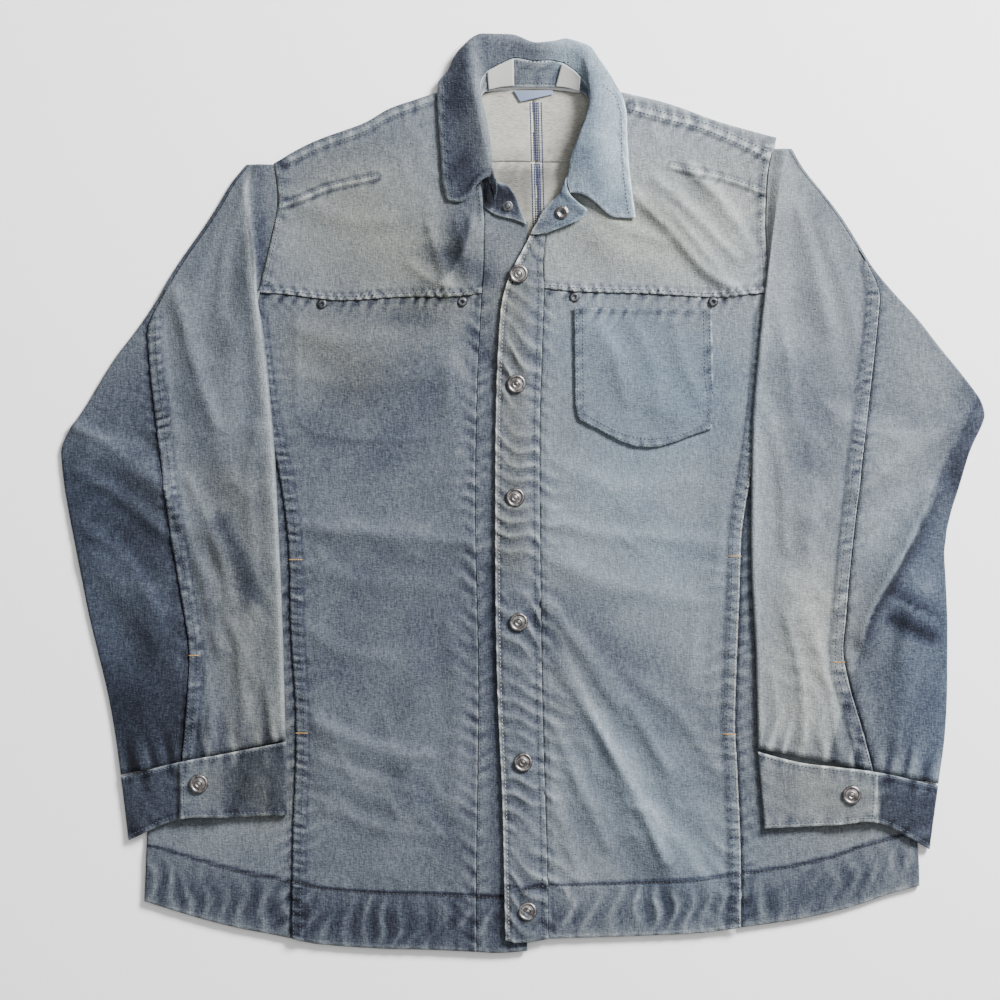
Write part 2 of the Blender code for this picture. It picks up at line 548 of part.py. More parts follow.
def cuff(side, finish, top, low, vent):
    """A cuff: a double band that runs once round the wrist and laps over itself at the vent."""
    suffix = "r" if side < 0 else "l"
    edge = SIDE_EDGE_R if side < 0 else SIDE_EDGE_L
    radius = CUFF_DEPTH / 2
    rows = []
    for share in (0.0, 0.33, 0.67, 1.0):
        line_top = smooth_curve(top, 60)
        line_low = smooth_curve(low, 60)
        line = line_top + (line_low - line_top) * share
        order = np.argsort(line[:, 0])

        def height_at(x):
            return float(np.interp(x, line[order, 0], line[order, 1]))

        x_out, x_in = line[0, 0], line[-1, 0]

        def base(x):
            return SLEEVE_LOW * over_body(x, height_at(x), edge, side, 10, 2.5)

        start = vent - side * CUFF_OVERLAP
        fold_out = x_out - side * radius
        fold_in = x_in + side * radius
        points = [(x, base(x) + CUFF_DEPTH) for x in np.linspace(start, fold_out, 7)]
        for angle in np.radians((45, 0, -45)):
            round_z = base(fold_out) + radius * (1 + np.sin(angle))
            points.append((fold_out + side * radius * np.cos(angle), round_z))
        climb = across_at(edge, line[0, 1]) + side * np.array([10.0, 6.0, 2.5])
        climb = np.clip(climb, *sorted((fold_out, fold_in)))
        under_x = [fold_out, *climb, *np.linspace(vent, fold_in, 4)]
        under_x = np.array(under_x) * 0.97 + np.linspace(fold_out, fold_in, 8) * 0.03
        points += [(x, base(x)) for x in under_x]
        for angle in np.radians((-45, 0, 45)):
            round_z = base(fold_in) + radius * (1 + np.sin(angle))
            points.append((fold_in - side * radius * np.cos(angle), round_z))
        for x in np.linspace(fold_in, vent, 9):
            lap = ease(((x - start) * side + 22) / 16)
            points.append((x, base(x) + CUFF_DEPTH + lap * (BAND + LAYER_GAP)))
        rows.append([(x, height_at(x), z) for x, z in points])
    grid = np.array(rows)[::-1]
    if side < 0:
        grid = grid[:, ::-1]
    return cloth("cuff_" + suffix, trimmed(grid, 0.5), finish, BAND)


def collar_surface():
    """The collar's inner face as a fine grid: stations round the neck, points across it."""
    across = []
    for station in COLLAR:
        line = smooth_curve(station, 200)
        low, high = np.array(station[STAND_POINTS - 2 : STAND_POINTS])
        upright = ease((high[2] - 7) / 3)
        target = high + (low - high) * 0.5 * upright
        meet = int(np.argmin(np.linalg.norm(line - target, axis=1)))
        inner = smooth_curve(line[: meet + 1 : 8], STAND_STEPS + 1)
        outer = smooth_curve(line[meet::4], 100)
        crowded = np.linspace(0, 1, FALL_STEPS + 1) ** ROLL_CROWDING
        outer = outer[np.round(crowded * 99).astype(int)]
        across.append(np.vstack([inner, outer[1:]]))
    return np.array(across)


def refined(stations, between):
    """The same surface with more stations, by a smooth curve through each point's own line."""
    count = (len(stations) - 1) * between + 1
    lines = []
    for line in np.swapaxes(stations, 0, 1):
        p = np.vstack([2 * line[0] - line[1], line, 2 * line[-1] - line[-2]])
        new = []
        for a, b, c, d in zip(p, p[1:], p[2:], p[3:]):
            for t in np.arange(between) / between:
                cubic = (2 * a - 5 * b + 4 * c - d) * t**2 + (3 * b - a - 3 * c + d) * t**3
                new.append(0.5 * (2 * b + (c - a) * t + cubic))
        lines.append(new + [line[-1]])
    return np.swapaxes(np.array(lines), 0, 1)[:count]


def collar(finish):
    surface = collar_surface()
    ends_r = [smooth_curve(station, STAND_STEPS + 1) for station in STAND_END_R]
    ends_l = [smooth_curve(station, STAND_STEPS + 1) for station in STAND_END_L]
    stand = np.concatenate([ends_r, surface[:, : STAND_STEPS + 1], ends_l])
    fall = surface[:, STAND_STEPS:]
    for name, sheet in (("collar_stand", refined(stand, 2)), ("collar_fall", refined(fall, 2))):
        grid = np.swapaxes(sheet, 0, 1)
        grid[..., 2] = np.maximum(grid[..., 2], 0)
        cloth(name, trimmed(grid, STAND_SEAM_GAP / 2), finish, COLLAR_WALL)
    return refined(surface[:, : STAND_STEPS + 1], 2)


def label(name, stand, corners, finish):
    """A blank label on the stand: corners give station and share across, lower then upper."""
    (low_a, low_b), (high_a, high_b) = corners
    points = []
    for share in (0.05, 0.35, 0.65, 0.97):
        row = []
        for side in (0.0, 0.5, 1.0):
            first = low_a + (high_a - low_a) * share
            last = low_b + (high_b - low_b) * share
            station = first + (last - first) * side
            low = int(station)
            part = station - low
            line = stand[low] * (1 - part) + stand[low + 1] * part
            position = share * 3
            near = min(int(position), 2)
            row.append(line[near] + (line[near + 1] - line[near]) * (position - near))
        points.append(row)
    grid = np.array(points)
    along = np.gradient(grid, axis=1)
    up = np.gradient(grid, axis=0)
    normal = np.cross(along, up)
    normal /= np.linalg.norm(normal, axis=-1, keepdims=True)
    return cloth(name, grid + normal * LABEL_LIFT, finish, LABEL)


def main():
    for old in list(bpy.data.objects):
        bpy.data.objects.remove(old, do_unlink=True)
    body = material("denim_body", (0.30, 0.36, 0.40), 0.9)
    yoke = material("denim_yoke", (0.42, 0.46, 0.45), 0.9)
    light = material("denim_sleeve_light", (0.36, 0.40, 0.42), 0.9)
    slate = material("denim_sleeve_dark", (0.17, 0.20, 0.27), 0.9)
    inside = material("denim_inside", (0.62, 0.60, 0.53), 0.95)
    paper = material("label_satin", (0.78, 0.76, 0.72), 0.7)
    metal = material("aged_metal", (0.42, 0.36, 0.33), 0.4, 1.0)
    dark_metal = material("dark_metal", (0.10, 0.11, 0.12), 0.45, 1.0)

    back_left = joined((BACK_SEAM_R, SEAM_STEPS), (BACK_ARMHOLE_R, ARMHOLE_STEPS))
    back_right = joined((BACK_SEAM_L, SEAM_STEPS), (BACK_ARMHOLE_L, ARMHOLE_STEPS))
    back_r = patch(HEM_BACK_R, BACK_YOKE_SEAM_R, back_left, BACK_CENTRE, 16)
    back_l = patch(HEM_BACK_L, BACK_YOKE_SEAM_L, BACK_CENTRE, back_right, 16)
    cloth("back_r", trimmed(level(back_r, CLOTH)), inside)
    cloth("back_l", trimmed(level(back_l, CLOTH)), inside)
    shoulder_r = shifted(SHOULDER_R, 0, -SIDE_FOLD)
    shoulder_l = shifted(SHOULDER_L, 0, -SIDE_FOLD)
    top_r = [*shoulder_r[:-1], *NECK_BACK_R]
    top_l = [*NECK_BACK_L[:-1], *shoulder_l]
    side_r = [BACK_YOKE_SEAM_R[0], top_r[0]]
    side_l = [BACK_YOKE_SEAM_L[-1], top_l[-1]]
    yoke_r = patch(BACK_YOKE_SEAM_R, top_r, side_r, YOKE_CENTRE, 16, 4)
    yoke_l = patch(BACK_YOKE_SEAM_L, top_l, YOKE_CENTRE, side_l, 16, 4)
    cloth("back_yoke_r", trimmed(level(yoke_r, CLOTH)), inside)
    cloth("back_yoke_l", trimmed(level(yoke_l, CLOTH)), inside)

    side_panel(
        "side_r", body, -1, HEM_SIDE_R, SIDE_EDGE_R, ARMHOLE_LOW_R, FRONT_SEAM_R,
        [SIDE_EDGE_R[0], (-304, -376), BACK_SEAM_R[0]], BACK_ARMHOLE_LOW_R, BACK_SEAM_R,
    )
    side_panel(
        "side_l", body, 1, HEM_SIDE_L, SIDE_EDGE_L, ARMHOLE_LOW_L, FRONT_SEAM_L,
        [SIDE_EDGE_L[0], (323, -361), BACK_SEAM_L[0]], BACK_ARMHOLE_LOW_L, BACK_SEAM_L,
    )

    seam_r = joined((FRONT_SEAM_R, SEAM_STEPS), ([FRONT_SEAM_R[-1], YOKE_SEAM_R[0]], 1))
    seam_l = joined((FRONT_SEAM_L, SEAM_STEPS), ([FRONT_SEAM_L[-1], YOKE_SEAM_L[-1]], 1))
    front_r = patch(HEM_FRONT_R, YOKE_SEAM_R, seam_r, PLACKET_SEAM_R, FRONT_STEPS)
    front_l = patch(HEM_FRONT_L, YOKE_SEAM_L, PLACKET_SEAM_L, seam_l, FRONT_STEPS)
    cloth("front_r", trimmed(lifted(front_r, CLOTH)), body)
    cloth("front_l", trimmed(lifted(front_l, CLOTH)), body)
    neck_r = [*PLACKET_TOP_R, *NECKLINE_R[1:]]
    neck_l = [*PLACKET_TOP_L, *NECKLINE_L[1:]]
    front_yoke("front_yoke_r", yoke, YOKE_SEAM_R, neck_r, ARMHOLE_TOP_R, SHOULDER_R, -1)
    front_yoke("front_yoke_l", yoke, YOKE_SEAM_L, neck_l, ARMHOLE_TOP_L, SHOULDER_L, 1)

    top_edge_r = [PLACKET_TOP_R[-1], PLACKET_EDGE_R[-1]]
    inner_r = joined((PLACKET_SEAM_R, SEAM_STEPS + 1), (PLACKET_TOP_R, PLACKET_TOP_STEPS))
    band_r = patch(HEM_PLACKET_R, top_edge_r, inner_r, PLACKET_EDGE_R, 3)
    cloth("placket_r", trimmed(lifted(band_r, BAND)), body, BAND)
    top_edge_l = [PLACKET_EDGE_L[-1], PLACKET_TOP_L[-1]]
    inner_l = joined((PLACKET_SEAM_L, SEAM_STEPS + 1), (PLACKET_TOP_L, PLACKET_TOP_STEPS))
    band_l = patch(HEM_PLACKET_L, top_edge_l, PLACKET_EDGE_L, inner_l, 4)
    grid_l = lifted(band_l, BAND)
    lap = np.array([1.0, 1.0, 1.0, 0.6, 0.0])[None, :]
    grid_l[..., 2] += (BAND + 2 * LAYER_GAP) * lap
    cloth("placket_l", trimmed(grid_l), body, BAND)

    pocket = patch(POCKET_BOTTOM, POCKET_TOP, POCKET_LEFT, POCKET_RIGHT, 7, 8)
    cloth("pocket_l", lifted(pocket, CLOTH + 2 * LAYER_GAP + CLOTH), body)

    finishes = {"sleeve_top_": light, "sleeve_under_": slate}
    armhole_r = ARMHOLE_TOP_R[::-1] + ARMHOLE_LOW_R[::-1]
    armhole_back_r = [SHOULDER_R[0]] + BACK_ARMHOLE_R[::-1] + BACK_ARMHOLE_LOW_R[1::-1]
    armhole_l = ARMHOLE_TOP_L[::-1] + ARMHOLE_LOW_L
    armhole_back_l = [SHOULDER_L[-1]] + BACK_ARMHOLE_L[::-1] + BACK_ARMHOLE_LOW_L[1::-1]
    sleeve(
        -1, finishes, SLEEVE_OUT_R, SLEEVE_IN_R, SLEEVE_SEAM_R, armhole_r, armhole_back_r,
        UNDERARM_R, SLEEVE_ROWS_R,
    )
    sleeve(
        1, finishes, SLEEVE_OUT_L, SLEEVE_IN_L, SLEEVE_SEAM_L, armhole_l, armhole_back_l,
        UNDERARM_L, SLEEVE_ROWS_L,
    )
    cuff(-1, slate, CUFF_TOP_R, CUFF_LOW_R, CUFF_VENT_R)
    cuff(1, slate, CUFF_TOP_L, CUFF_LOW_L, CUFF_VENT_L)

    stand = collar(yoke)
    label("care_label_r", stand, CARE_LABEL_R, paper)
    label("care_label_l", stand, CARE_LABEL_L, paper)
    loop = patch(LOOP_LOW, LOOP_TOP, [LOOP_LOW[0], LOOP_TOP[0]], [LOOP_LOW[1], LOOP_TOP[1]], 2, 2)
    cloth("neck_loop", level(loop, CLOTH + LAYER_GAP + LABEL), paper, LABEL)

    cap = [(0, 0), (7.4, 0), (CAP_RADIUS, 1.1), (CAP_RADIUS, 1.8), (7.4, 2.4), (0, CAP_HEIGHT)]
    for number, (x, y) in enumerate(SNAPS):
        corners = [front_top(x + dx, y + dy, BAND) for dx in (-9, 0, 9) for dy in (-9, 0, 9)]
        height = max(corners) + BAND + 3 * LAYER_GAP
        turned(f"snap_{number + 1}", cap, (x, y, height), metal)
    cuff_top = SLEEVE_LOW + CUFF_DEPTH + BAND + 2 * LAYER_GAP
    turned("cuff_snap_r", cap, (*CUFF_SNAP_R, cuff_top), metal)
    turned("cuff_snap_l", cap, (*CUFF_SNAP_L, cuff_top), metal)
    stud = [(0, 0), (STUD_RADIUS, 0), (STUD_RADIUS, 0.8), (2.4, 1.1), (2.4, 2.8), (0, 3.4)]
    turned("neck_stud", stud, STUD, dark_metal, 12)
    socket = [(1.8, 0), (SOCKET_RADIUS, 0), (SOCKET_RADIUS, 0.8), (4.2, 1.9), (1.8, 1.0)]
    turned("neck_socket", socket, SOCKET, metal, 12)
    ring = [(EYELET_HOLE, 0), (EYELET_RADIUS, 0), (EYELET_RADIUS - 0.4, 1.1), (EYELET_HOLE, 0.9)]
    for number, (x, y) in enumerate(EYELETS):
        corners = [front_top(x + dx, y + dy, CLOTH) for dx in (-4, 4) for dy in (-4, 4)]
        turned(f"eyelet_{number + 1}", ring, (x, y, max(corners) + LAYER_GAP), dark_metal, 10)


main()
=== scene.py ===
# %% [markdown]
# # A light-washed denim jacket, laid flat and seen from above
# The jacket is cut from about twenty pieces of denim. The frame gives each piece as a plain solid
# wall; here every piece is made again as a fine sheet of cloth on the same lines, with its
# puckered seams, worn edges, creases, stitches and wash.
# All tables below are in millimetres and are turned to metres where a mesh is made.

import bmesh
import bpy
import numpy as np
from mathutils import Matrix, Vector
from mathutils.bvhtree import BVHTree


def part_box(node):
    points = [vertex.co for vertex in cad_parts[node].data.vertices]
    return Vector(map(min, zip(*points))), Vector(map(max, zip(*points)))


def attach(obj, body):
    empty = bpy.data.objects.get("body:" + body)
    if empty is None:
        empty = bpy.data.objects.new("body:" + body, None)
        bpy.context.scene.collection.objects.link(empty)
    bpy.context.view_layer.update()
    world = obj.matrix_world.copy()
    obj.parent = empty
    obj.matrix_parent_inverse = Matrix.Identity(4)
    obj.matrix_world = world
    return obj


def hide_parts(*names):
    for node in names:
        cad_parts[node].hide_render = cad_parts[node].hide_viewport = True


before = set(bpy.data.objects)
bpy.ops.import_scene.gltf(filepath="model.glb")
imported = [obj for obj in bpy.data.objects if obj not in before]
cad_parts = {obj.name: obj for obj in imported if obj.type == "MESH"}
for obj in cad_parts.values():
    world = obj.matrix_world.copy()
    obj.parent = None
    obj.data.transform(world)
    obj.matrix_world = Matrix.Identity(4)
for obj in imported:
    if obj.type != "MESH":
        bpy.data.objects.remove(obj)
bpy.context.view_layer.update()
MM = 0.001
print("frame nodes:", len(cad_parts))

# %% [markdown]
# The cloth lies in layers. These heights say where the underside of the front lies over the back,
# and where a sleeve lies over the body. They are the ones that the solids have, but for the gap
# between the collar's two bands, which is wider in the solids.

# %% Heights of the layers
CLOTH = 1.2
BAND = 2.0
SEAM_GAP = 0.35
LAYER_GAP = 0.4
FRONT_LOW = 3.0
FRONT_TOP = FRONT_LOW + CLOTH
SIDE_FOLD = FRONT_TOP / 2
SLEEVE_LOW = FRONT_TOP + LAYER_GAP
SLEEVE_DEPTH = 3.6
CUFF_DEPTH = 4.8
SEAM_STEPS = 22
ARMHOLE_STEPS = 5
FRONT_STEPS = 9
PLACKET_TOP_STEPS = 3
LABEL = 1.0
LABEL_LIFT = 1.9
LABEL_WALL = 0.5
LOOP_WALL = 0.6
EDGE_TURN = 1.9
STAND_POINTS = 3
STAND_STEPS = 3
FALL_STEPS = 9
ROLL_CROWDING = 1.5
STAND_SEAM_GAP = 0.6
print("front underside at", FRONT_LOW, "mm, sleeve underside at", SLEEVE_LOW, "mm")

# %% [markdown]
# A cutter works from outlines. Each table is one edge of a piece as it lies, a few points along a
# smooth curve. X grows towards the wearer's left sleeve and Y towards the collar.

# %% Outlines of the body
HEM_SIDE_R = [(-341, -368), (-304, -379), (-264, -390), (-238, -395), (-208, -401)]
HEM_FRONT_R = [(-208, -401), (-184, -406), (-129, -410), (-87, -411), (-42, -413)]
HEM_PLACKET_R = [(-42, -413), (-20, -414), (4, -412)]
HEM_PLACKET_L = [(-16, -402), (-10, -404), (6, -404), (23, -401)]
HEM_FRONT_L = [(23, -401), (60, -400), (96, -399), (159, -396), (196, -391)]
HEM_SIDE_L = [(196, -391), (246, -384), (291, -374), (323, -363), (357, -354)]
HEM_BACK_R = [(-271, -384), (-208, -397), (-129, -405), (-42, -406), (16, -398)]
HEM_BACK_L = [(16, -398), (60, -397), (159, -393), (196, -388), (246, -381), (287, -371)]
SIDE_EDGE_R = [(-341, -368), (-339, -320), (-336, -240), (-330, -132), (-325, -24), (-318, 50)]
SIDE_EDGE_L = [(357, -354), (356, -326), (350, -240), (344, -132), (338, -24), (333, 48)]
FRONT_SEAM_R = [(-208, -401), (-207, -306), (-204, -212), (-209, -122), (-211, -47), (-219, 15),
                (-233, 84), (-243, 159)]
FRONT_SEAM_L = [(196, -391), (196, -323), (193, -249), (191, -200), (195, -88), (197, -34),
                (206, 21), (215, 84), (221, 158)]
PLACKET_SEAM_R = [(-42, -413), (-42, -340), (-40, -168), (-43, -24), (-41, 102), (-37, 180)]
PLACKET_TOP_R = [(-37, 180), (-35, 210), (-35, 244)]
PLACKET_EDGE_R = [(4, -412), (3, -366), (-2, -186), (-6, -6), (-2, 174), (3, 219), (6, 238)]
PLACKET_EDGE_L = [(-16, -402), (-17, -357), (-19, -272), (-23, -186), (-25, -88), (-25, 48),
                  (-23, 120), (-20, 165), (-14, 192), (-3, 212), (4, 228), (13, 244)]
PLACKET_SEAM_L = [(23, -401), (22, -340), (18, -204), (16, -88), (15, 48), (17, 120), (19, 184)]
PLACKET_TOP_L = [(19, 184), (18, 205), (20, 228), (22, 244)]
YOKE_SEAM_R = [(-238, 180), (-218, 179), (-185, 175), (-159, 173), (-114, 176), (-60, 177),
               (-37, 180)]
YOKE_SEAM_L = [(19, 184), (50, 181), (116, 179), (172, 176), (204, 179), (221, 180)]
ARMHOLE_TOP_R = [(-238, 180), (-229, 218), (-223, 245), (-220, 267), (-224, 294)]
ARMHOLE_LOW_R = [(-318, 50), (-294, 70), (-271, 97), (-252, 133), (-243, 159)]
ARMHOLE_TOP_L = [(221, 180), (220, 208), (218, 238), (220, 288), (226, 316)]
ARMHOLE_LOW_L = [(221, 158), (231, 129), (249, 97), (276, 72), (303, 57), (333, 48)]
SHOULDER_R = [(-224, 297), (-202, 310), (-180, 320), (-144, 333), (-121, 346), (-98, 354),
              (-79, 360), (-57, 364), (-39, 364)]
SHOULDER_L = [(58, 362), (73, 364), (102, 358), (123, 353), (145, 346), (166, 338), (188, 331),
              (210, 325), (228, 320)]
NECKLINE_R = [(-35, 244), (-36, 264), (-39, 291), (-40, 318), (-41, 340), (-39, 362)]
NECKLINE_L = [(22, 244), (26, 254), (33, 268), (47, 284), (60, 300), (67, 327), (66, 343), (58, 360)]
NECK_BACK_R = [(-39, 361), (-16, 363), (8, 364)]
NECK_BACK_L = [(8, 364), (32, 363), (58, 360)]
BACK_CENTRE = [(16, -398), (15, 174), (11, 298)]
YOKE_CENTRE = [(11, 298), (8, 364)]
BACK_YOKE_SEAM_R = [(-221, 253), (-165, 277), (-93, 292), (-26, 298), (11, 298)]
BACK_YOKE_SEAM_L = [(11, 298), (47, 297), (114, 291), (177, 275), (220, 250)]
BACK_SEAM_R = [(-271, -384), (-277, -186), (-284, -6), (-288, 78)]
BACK_SEAM_L = [(287, -371), (292, -186), (299, -6), (303, 73)]
BACK_ARMHOLE_R = [(-288, 78), (-271, 102), (-250, 147), (-235, 205), (-221, 253)]
BACK_ARMHOLE_L = [(303, 73), (272, 102), (247, 147), (231, 201), (220, 250)]
BACK_ARMHOLE_LOW_R = [(-318, 50), (-304, 63), (-288, 78)]
BACK_ARMHOLE_LOW_L = [(333, 48), (318, 58), (303, 73)]

# Chest pocket, sewn on the left front
POCKET_BOTTOM = [(50, 66), (108, 41), (170, 58)]
POCKET_LEFT = [(50, 66), (47, 84), (46, 167)]
POCKET_RIGHT = [(170, 58), (171, 110), (170, 165)]
POCKET_TOP = [(46, 167), (108, 166), (170, 165)]
print("the hem is", HEM_SIDE_L[-1][0] - HEM_SIDE_R[0][0], "mm wide as it lies")

# %% [markdown]
# A sleeve has an outer and an inner fold, a felled seam down its face and an armhole. A cuff has
# its seam to the sleeve, its lower edge and a vent.

# %% Outlines of the sleeves and cuffs
SLEEVE_OUT_R = [(-249, 296), (-262, 280), (-277, 255), (-295, 228), (-314, 201), (-338, 160),
                (-359, 133), (-377, 106), (-393, 79), (-411, 52), (-416, 34), (-411, -6),
                (-399, -69), (-388, -123), (-379, -158), (-370, -200), (-362, -254)]
SLEEVE_IN_R = [(-235, 296), (-243, 264), (-239, 219), (-237, 174), (-231, 129), (-227, 84),
               (-223, 39), (-220, -24), (-216, -114), (-213, -222)]
SLEEVE_SEAM_R = [(-338, 160), (-336, 111), (-327, 39), (-316, -42), (-304, -114), (-300, -146),
                 (-302, -186), (-307, -242)]
UNDERARM_R = [(-318, 50), (-315, 12), (-308, -60), (-298, -132), (-286, -240)]
SLEEVE_OUT_L = [(242, 310), (249, 297), (272, 268), (292, 241), (318, 199), (340, 174),
                (353, 160), (374, 133), (396, 106), (412, 84), (416, 72), (412, 58), (403, 39),
                (395, 12), (386, -15), (379, -56), (382, -96), (382, -177), (380, -218),
                (374, -261)]
SLEEVE_IN_L = [(233, 310), (226, 264), (220, 219), (214, 156), (209, 102), (206, 57),
               (205, -60), (209, -141), (211, -230)]
SLEEVE_SEAM_L = [(318, 202), (321, 174), (314, 102), (303, 12), (294, -69), (290, -114),
                 (288, -152), (296, -182), (305, -213), (315, -250)]
UNDERARM_L = [(333, 48), (329, 12), (323, -60), (314, -132), (302, -240)]

# Sleeve rows: how high each one starts at the inner fold and ends at the outer fold
SLEEVE_ROWS_R = [(296, 296), (278, 278), (258, 258), (236, 236), (214, 214), (192, 192),
                 (170, 170), (148, 148), (126, 126), (104, 104), (84, 84), (72, 72), (61, 61), (50, 50),
                 (38, 38), (8, 8), (-18, -18), (-46, -46), (-76, -78), (-106, -110),
                 (-136, -143), (-166, -178), (-194, -214), (-221, -253)]
SLEEVE_ROWS_L = [(310, 310), (292, 292), (270, 270), (248, 248), (224, 224), (202, 202),
                 (180, 180), (156, 156), (132, 132), (108, 108), (84, 84), (70, 70), (58, 58), (47, 47),
                 (34, 34), (6, 6), (-20, -20), (-48, -48), (-78, -80), (-108, -114),
                 (-138, -149), (-168, -186), (-200, -224), (-229, -261)]

# Cuffs: seam to the sleeve and lower edge, from the outer fold to the inner one
CUFF_TOP_R = [(-362, -255), (-312, -242), (-264, -233), (-213, -223)]
CUFF_LOW_R = [(-355, -313), (-311, -294), (-264, -292), (-212, -290)]
CUFF_VENT_R = -309
CUFF_TOP_L = [(374, -263), (316, -250), (249, -242), (211, -232)]
CUFF_LOW_L = [(366, -321), (320, -297), (280, -299), (217, -302)]
CUFF_VENT_L = 319
CUFF_OVERLAP = 28
print("slices of each sleeve:", len(SLEEVE_ROWS_R), len(SLEEVE_ROWS_L))

# %% [markdown]
# A label's corners are given as stations of the collar, and the loop's edges as lines. The metal
# pieces need no table, because each takes the place of its solid.

# %% Places of the labels and the loop
CARE_LABEL_R = ((12.0, 16.0), (12.2, 15.9))
CARE_LABEL_L = ((20.9, 24.6), (21.6, 24.4))
LOOP_LOW = [(-3, 352), (27, 359)]
LOOP_TOP = [(-9, 362), (27, 362.6)]
print("loop:", LOOP_TOP[1][0] - LOOP_TOP[0][0], "mm wide")

# %% [markdown]
# The collar is a band that stands round the neck and a fall that rolls over it. It has stations
# round the neck, and each station has seven points across the collar.

# %% Stations of the collar
COLLAR = [
    [(-29, 244, 4.9), (-27, 259, 7), (-23, 272, 10.5), (-27, 283, 13),
     (-39, 279, 12), (-53, 262, 8.5), (-69, 263, 7)],
    [(-36, 261, 4.9), (-31, 274, 9), (-27, 286, 14), (-30, 296, 17),
     (-41, 293, 14), (-57, 284, 9.3), (-74, 278, 7)],
    [(-38, 289, 4.9), (-31, 302, 9.5), (-29, 313, 14.5), (-33, 318, 19),
     (-44, 316, 15), (-60, 312, 9.5), (-76, 309, 7)],
    [(-40, 316, 4.9), (-35, 327, 10), (-33, 338, 14.5), (-38, 342, 18.5),
     (-48, 341, 15), (-63, 339, 9.5), (-77, 338, 7)],
    [(-40, 340, 4.9), (-38, 348, 10), (-38, 357, 14.5), (-43, 362, 18.5),
     (-53, 361, 15), (-66, 360, 10), (-78, 358, 7)],
    [(-38, 357, 5.4), (-38, 364, 9.5), (-39, 374, 13), (-46, 384, 16.5),
     (-58, 380, 12.5), (-68, 376, 8), (-76, 371, 5.5)],
    [(-31, 362, 5), (-33, 374, 8), (-35, 385, 10.5), (-46, 403, 13.5),
     (-57, 398, 9), (-64, 389, 5), (-58, 378, 1.5)],
    [(-21, 364, 4.2), (-22, 376, 6.5), (-23, 391, 8.5), (-34, 410, 11),
     (-40, 413, 6.5), (-38, 407, 1.4), (-35, 385, 0)],
    [(-8, 365, 3.9), (-8, 377, 5.6), (-8, 392, 7.2), (-9, 409, 9.5),
     (-9, 412.5, 5), (-9, 408, 0.6), (-9, 384, 0)],
    [(7, 365, 3.9), (8, 378, 5.6), (9, 390, 7.2), (10, 402, 9.5),
     (10, 406, 5), (10, 401, 0.6), (9, 378, 0)],
    [(23, 365, 3.9), (24, 377, 5.6), (25, 391, 7.2), (26, 403, 9.5),
     (26, 407, 5), (26, 402, 0.6), (24, 379, 0)],
    [(36, 364, 4.2), (37, 376, 6.5), (38, 390, 8.5), (40, 405, 10.5),
     (41, 409, 6), (40, 403, 1.2), (36, 381, 0)],
    [(48, 362, 5), (50, 372, 8), (51, 382, 11), (54, 398, 13.5),
     (60, 402, 9), (61, 393, 4), (53, 379, 1.2)],
    [(57, 357, 5.4), (57, 365, 9.5), (56, 374, 13.5), (59, 383, 16.5),
     (69, 387, 12.5), (75, 380, 8), (75, 371, 4.5)],
    [(63, 346, 4.9), (60, 356, 10), (58, 363, 15), (62, 367, 18.5),
     (73, 370, 14.5), (81, 367, 10), (88, 360, 6.8)],
    [(67, 331, 4.9), (63, 341, 10.5), (59, 349, 15.5), (63, 354, 19.5),
     (75, 351, 15), (85, 348, 10), (94, 343, 7)],
    [(66, 313, 4.9), (61, 325, 10.5), (56, 334, 15.5), (59, 338, 19.5),
     (72, 332, 15), (84, 326, 10), (95, 320, 7)],
    [(60, 297, 4.9), (55, 309, 10.5), (49, 318, 15.5), (52, 321, 19.5),
     (68, 311, 15), (82, 302, 10), (96, 295, 7.6)],
    [(50, 282, 4.9), (44, 290, 10.5), (42, 299, 15.5), (49, 303, 18.5),
     (64, 292, 14), (81, 284, 9.5), (98, 277, 7.6)],
    [(39, 271, 6), (36, 277, 10.4), (45, 286, 14.4), (53, 286, 15.4),
     (67, 274, 12), (82, 265, 9), (100, 260, 7.6)],
    [(27, 263, 8), (35, 268, 10.8), (49, 269, 12.4), (57, 266, 12.4),
     (68, 258, 10.5), (80, 248, 8.5), (103, 247, 7.8)],
]
STAND_END_L = [
    [(21, 257, 9.2), (33, 257, 10.4), (51, 260, 11.4)],
    [(15, 249, 9.8), (33, 250, 10), (58, 254, 10.4)],
    [(12, 243, 10), (28, 244, 10.2), (50, 245, 10.2)],
    [(9, 238, 10), (18, 238, 10.1), (33, 238, 10.1)],
    [(6, 232, 10), (12, 232, 10), (20, 233, 10)],
]
print("collar stations:", len(COLLAR))

# %% [markdown]
# The folds are soft ridges drawn one by one: points along each one, its height and its half width.
# These two lists are also in the solids.

# %% Large folds
RIDGES = [
    ([(-84, 183), (-62, 205), (-46, 232)], 3.2, 13),
    ([(-30, 100), (-36, 140), (-40, 168)], -1.2, 10),
    ([(-185, 205), (-140, 230), (-90, 250)], 1.6, 16),
    ([(-190, 140), (-140, 120), (-80, 128)], 1.4, 18),
    ([(-180, -215), (-150, -232), (-105, -246)], 2.4, 12),
    ([(-180, -255), (-130, -275), (-90, -285)], 1.8, 12),
    ([(-170, -35), (-100, -46), (-50, -44)], 1.4, 14),
    ([(-130, -340), (-100, -250), (-96, -160)], 1.6, 20),
    ([(122, 258), (152, 226), (185, 186)], 3.0, 12),
    ([(160, 282), (185, 240), (203, 200)], 2.2, 11),
    ([(60, 240), (90, 215), (120, 205)], 1.4, 14),
    ([(60, 150), (95, 100), (140, 70)], 1.6, 16),
    ([(34, -180), (78, -240), (105, -305), (140, -350)], 3.0, 15),
    ([(70, -170), (120, -230), (160, -290)], 2.0, 15),
    ([(30, -60), (70, -85), (120, -80)], 1.4, 16),
    ([(60, 10), (110, -10), (160, 0)], 1.2, 16),
]
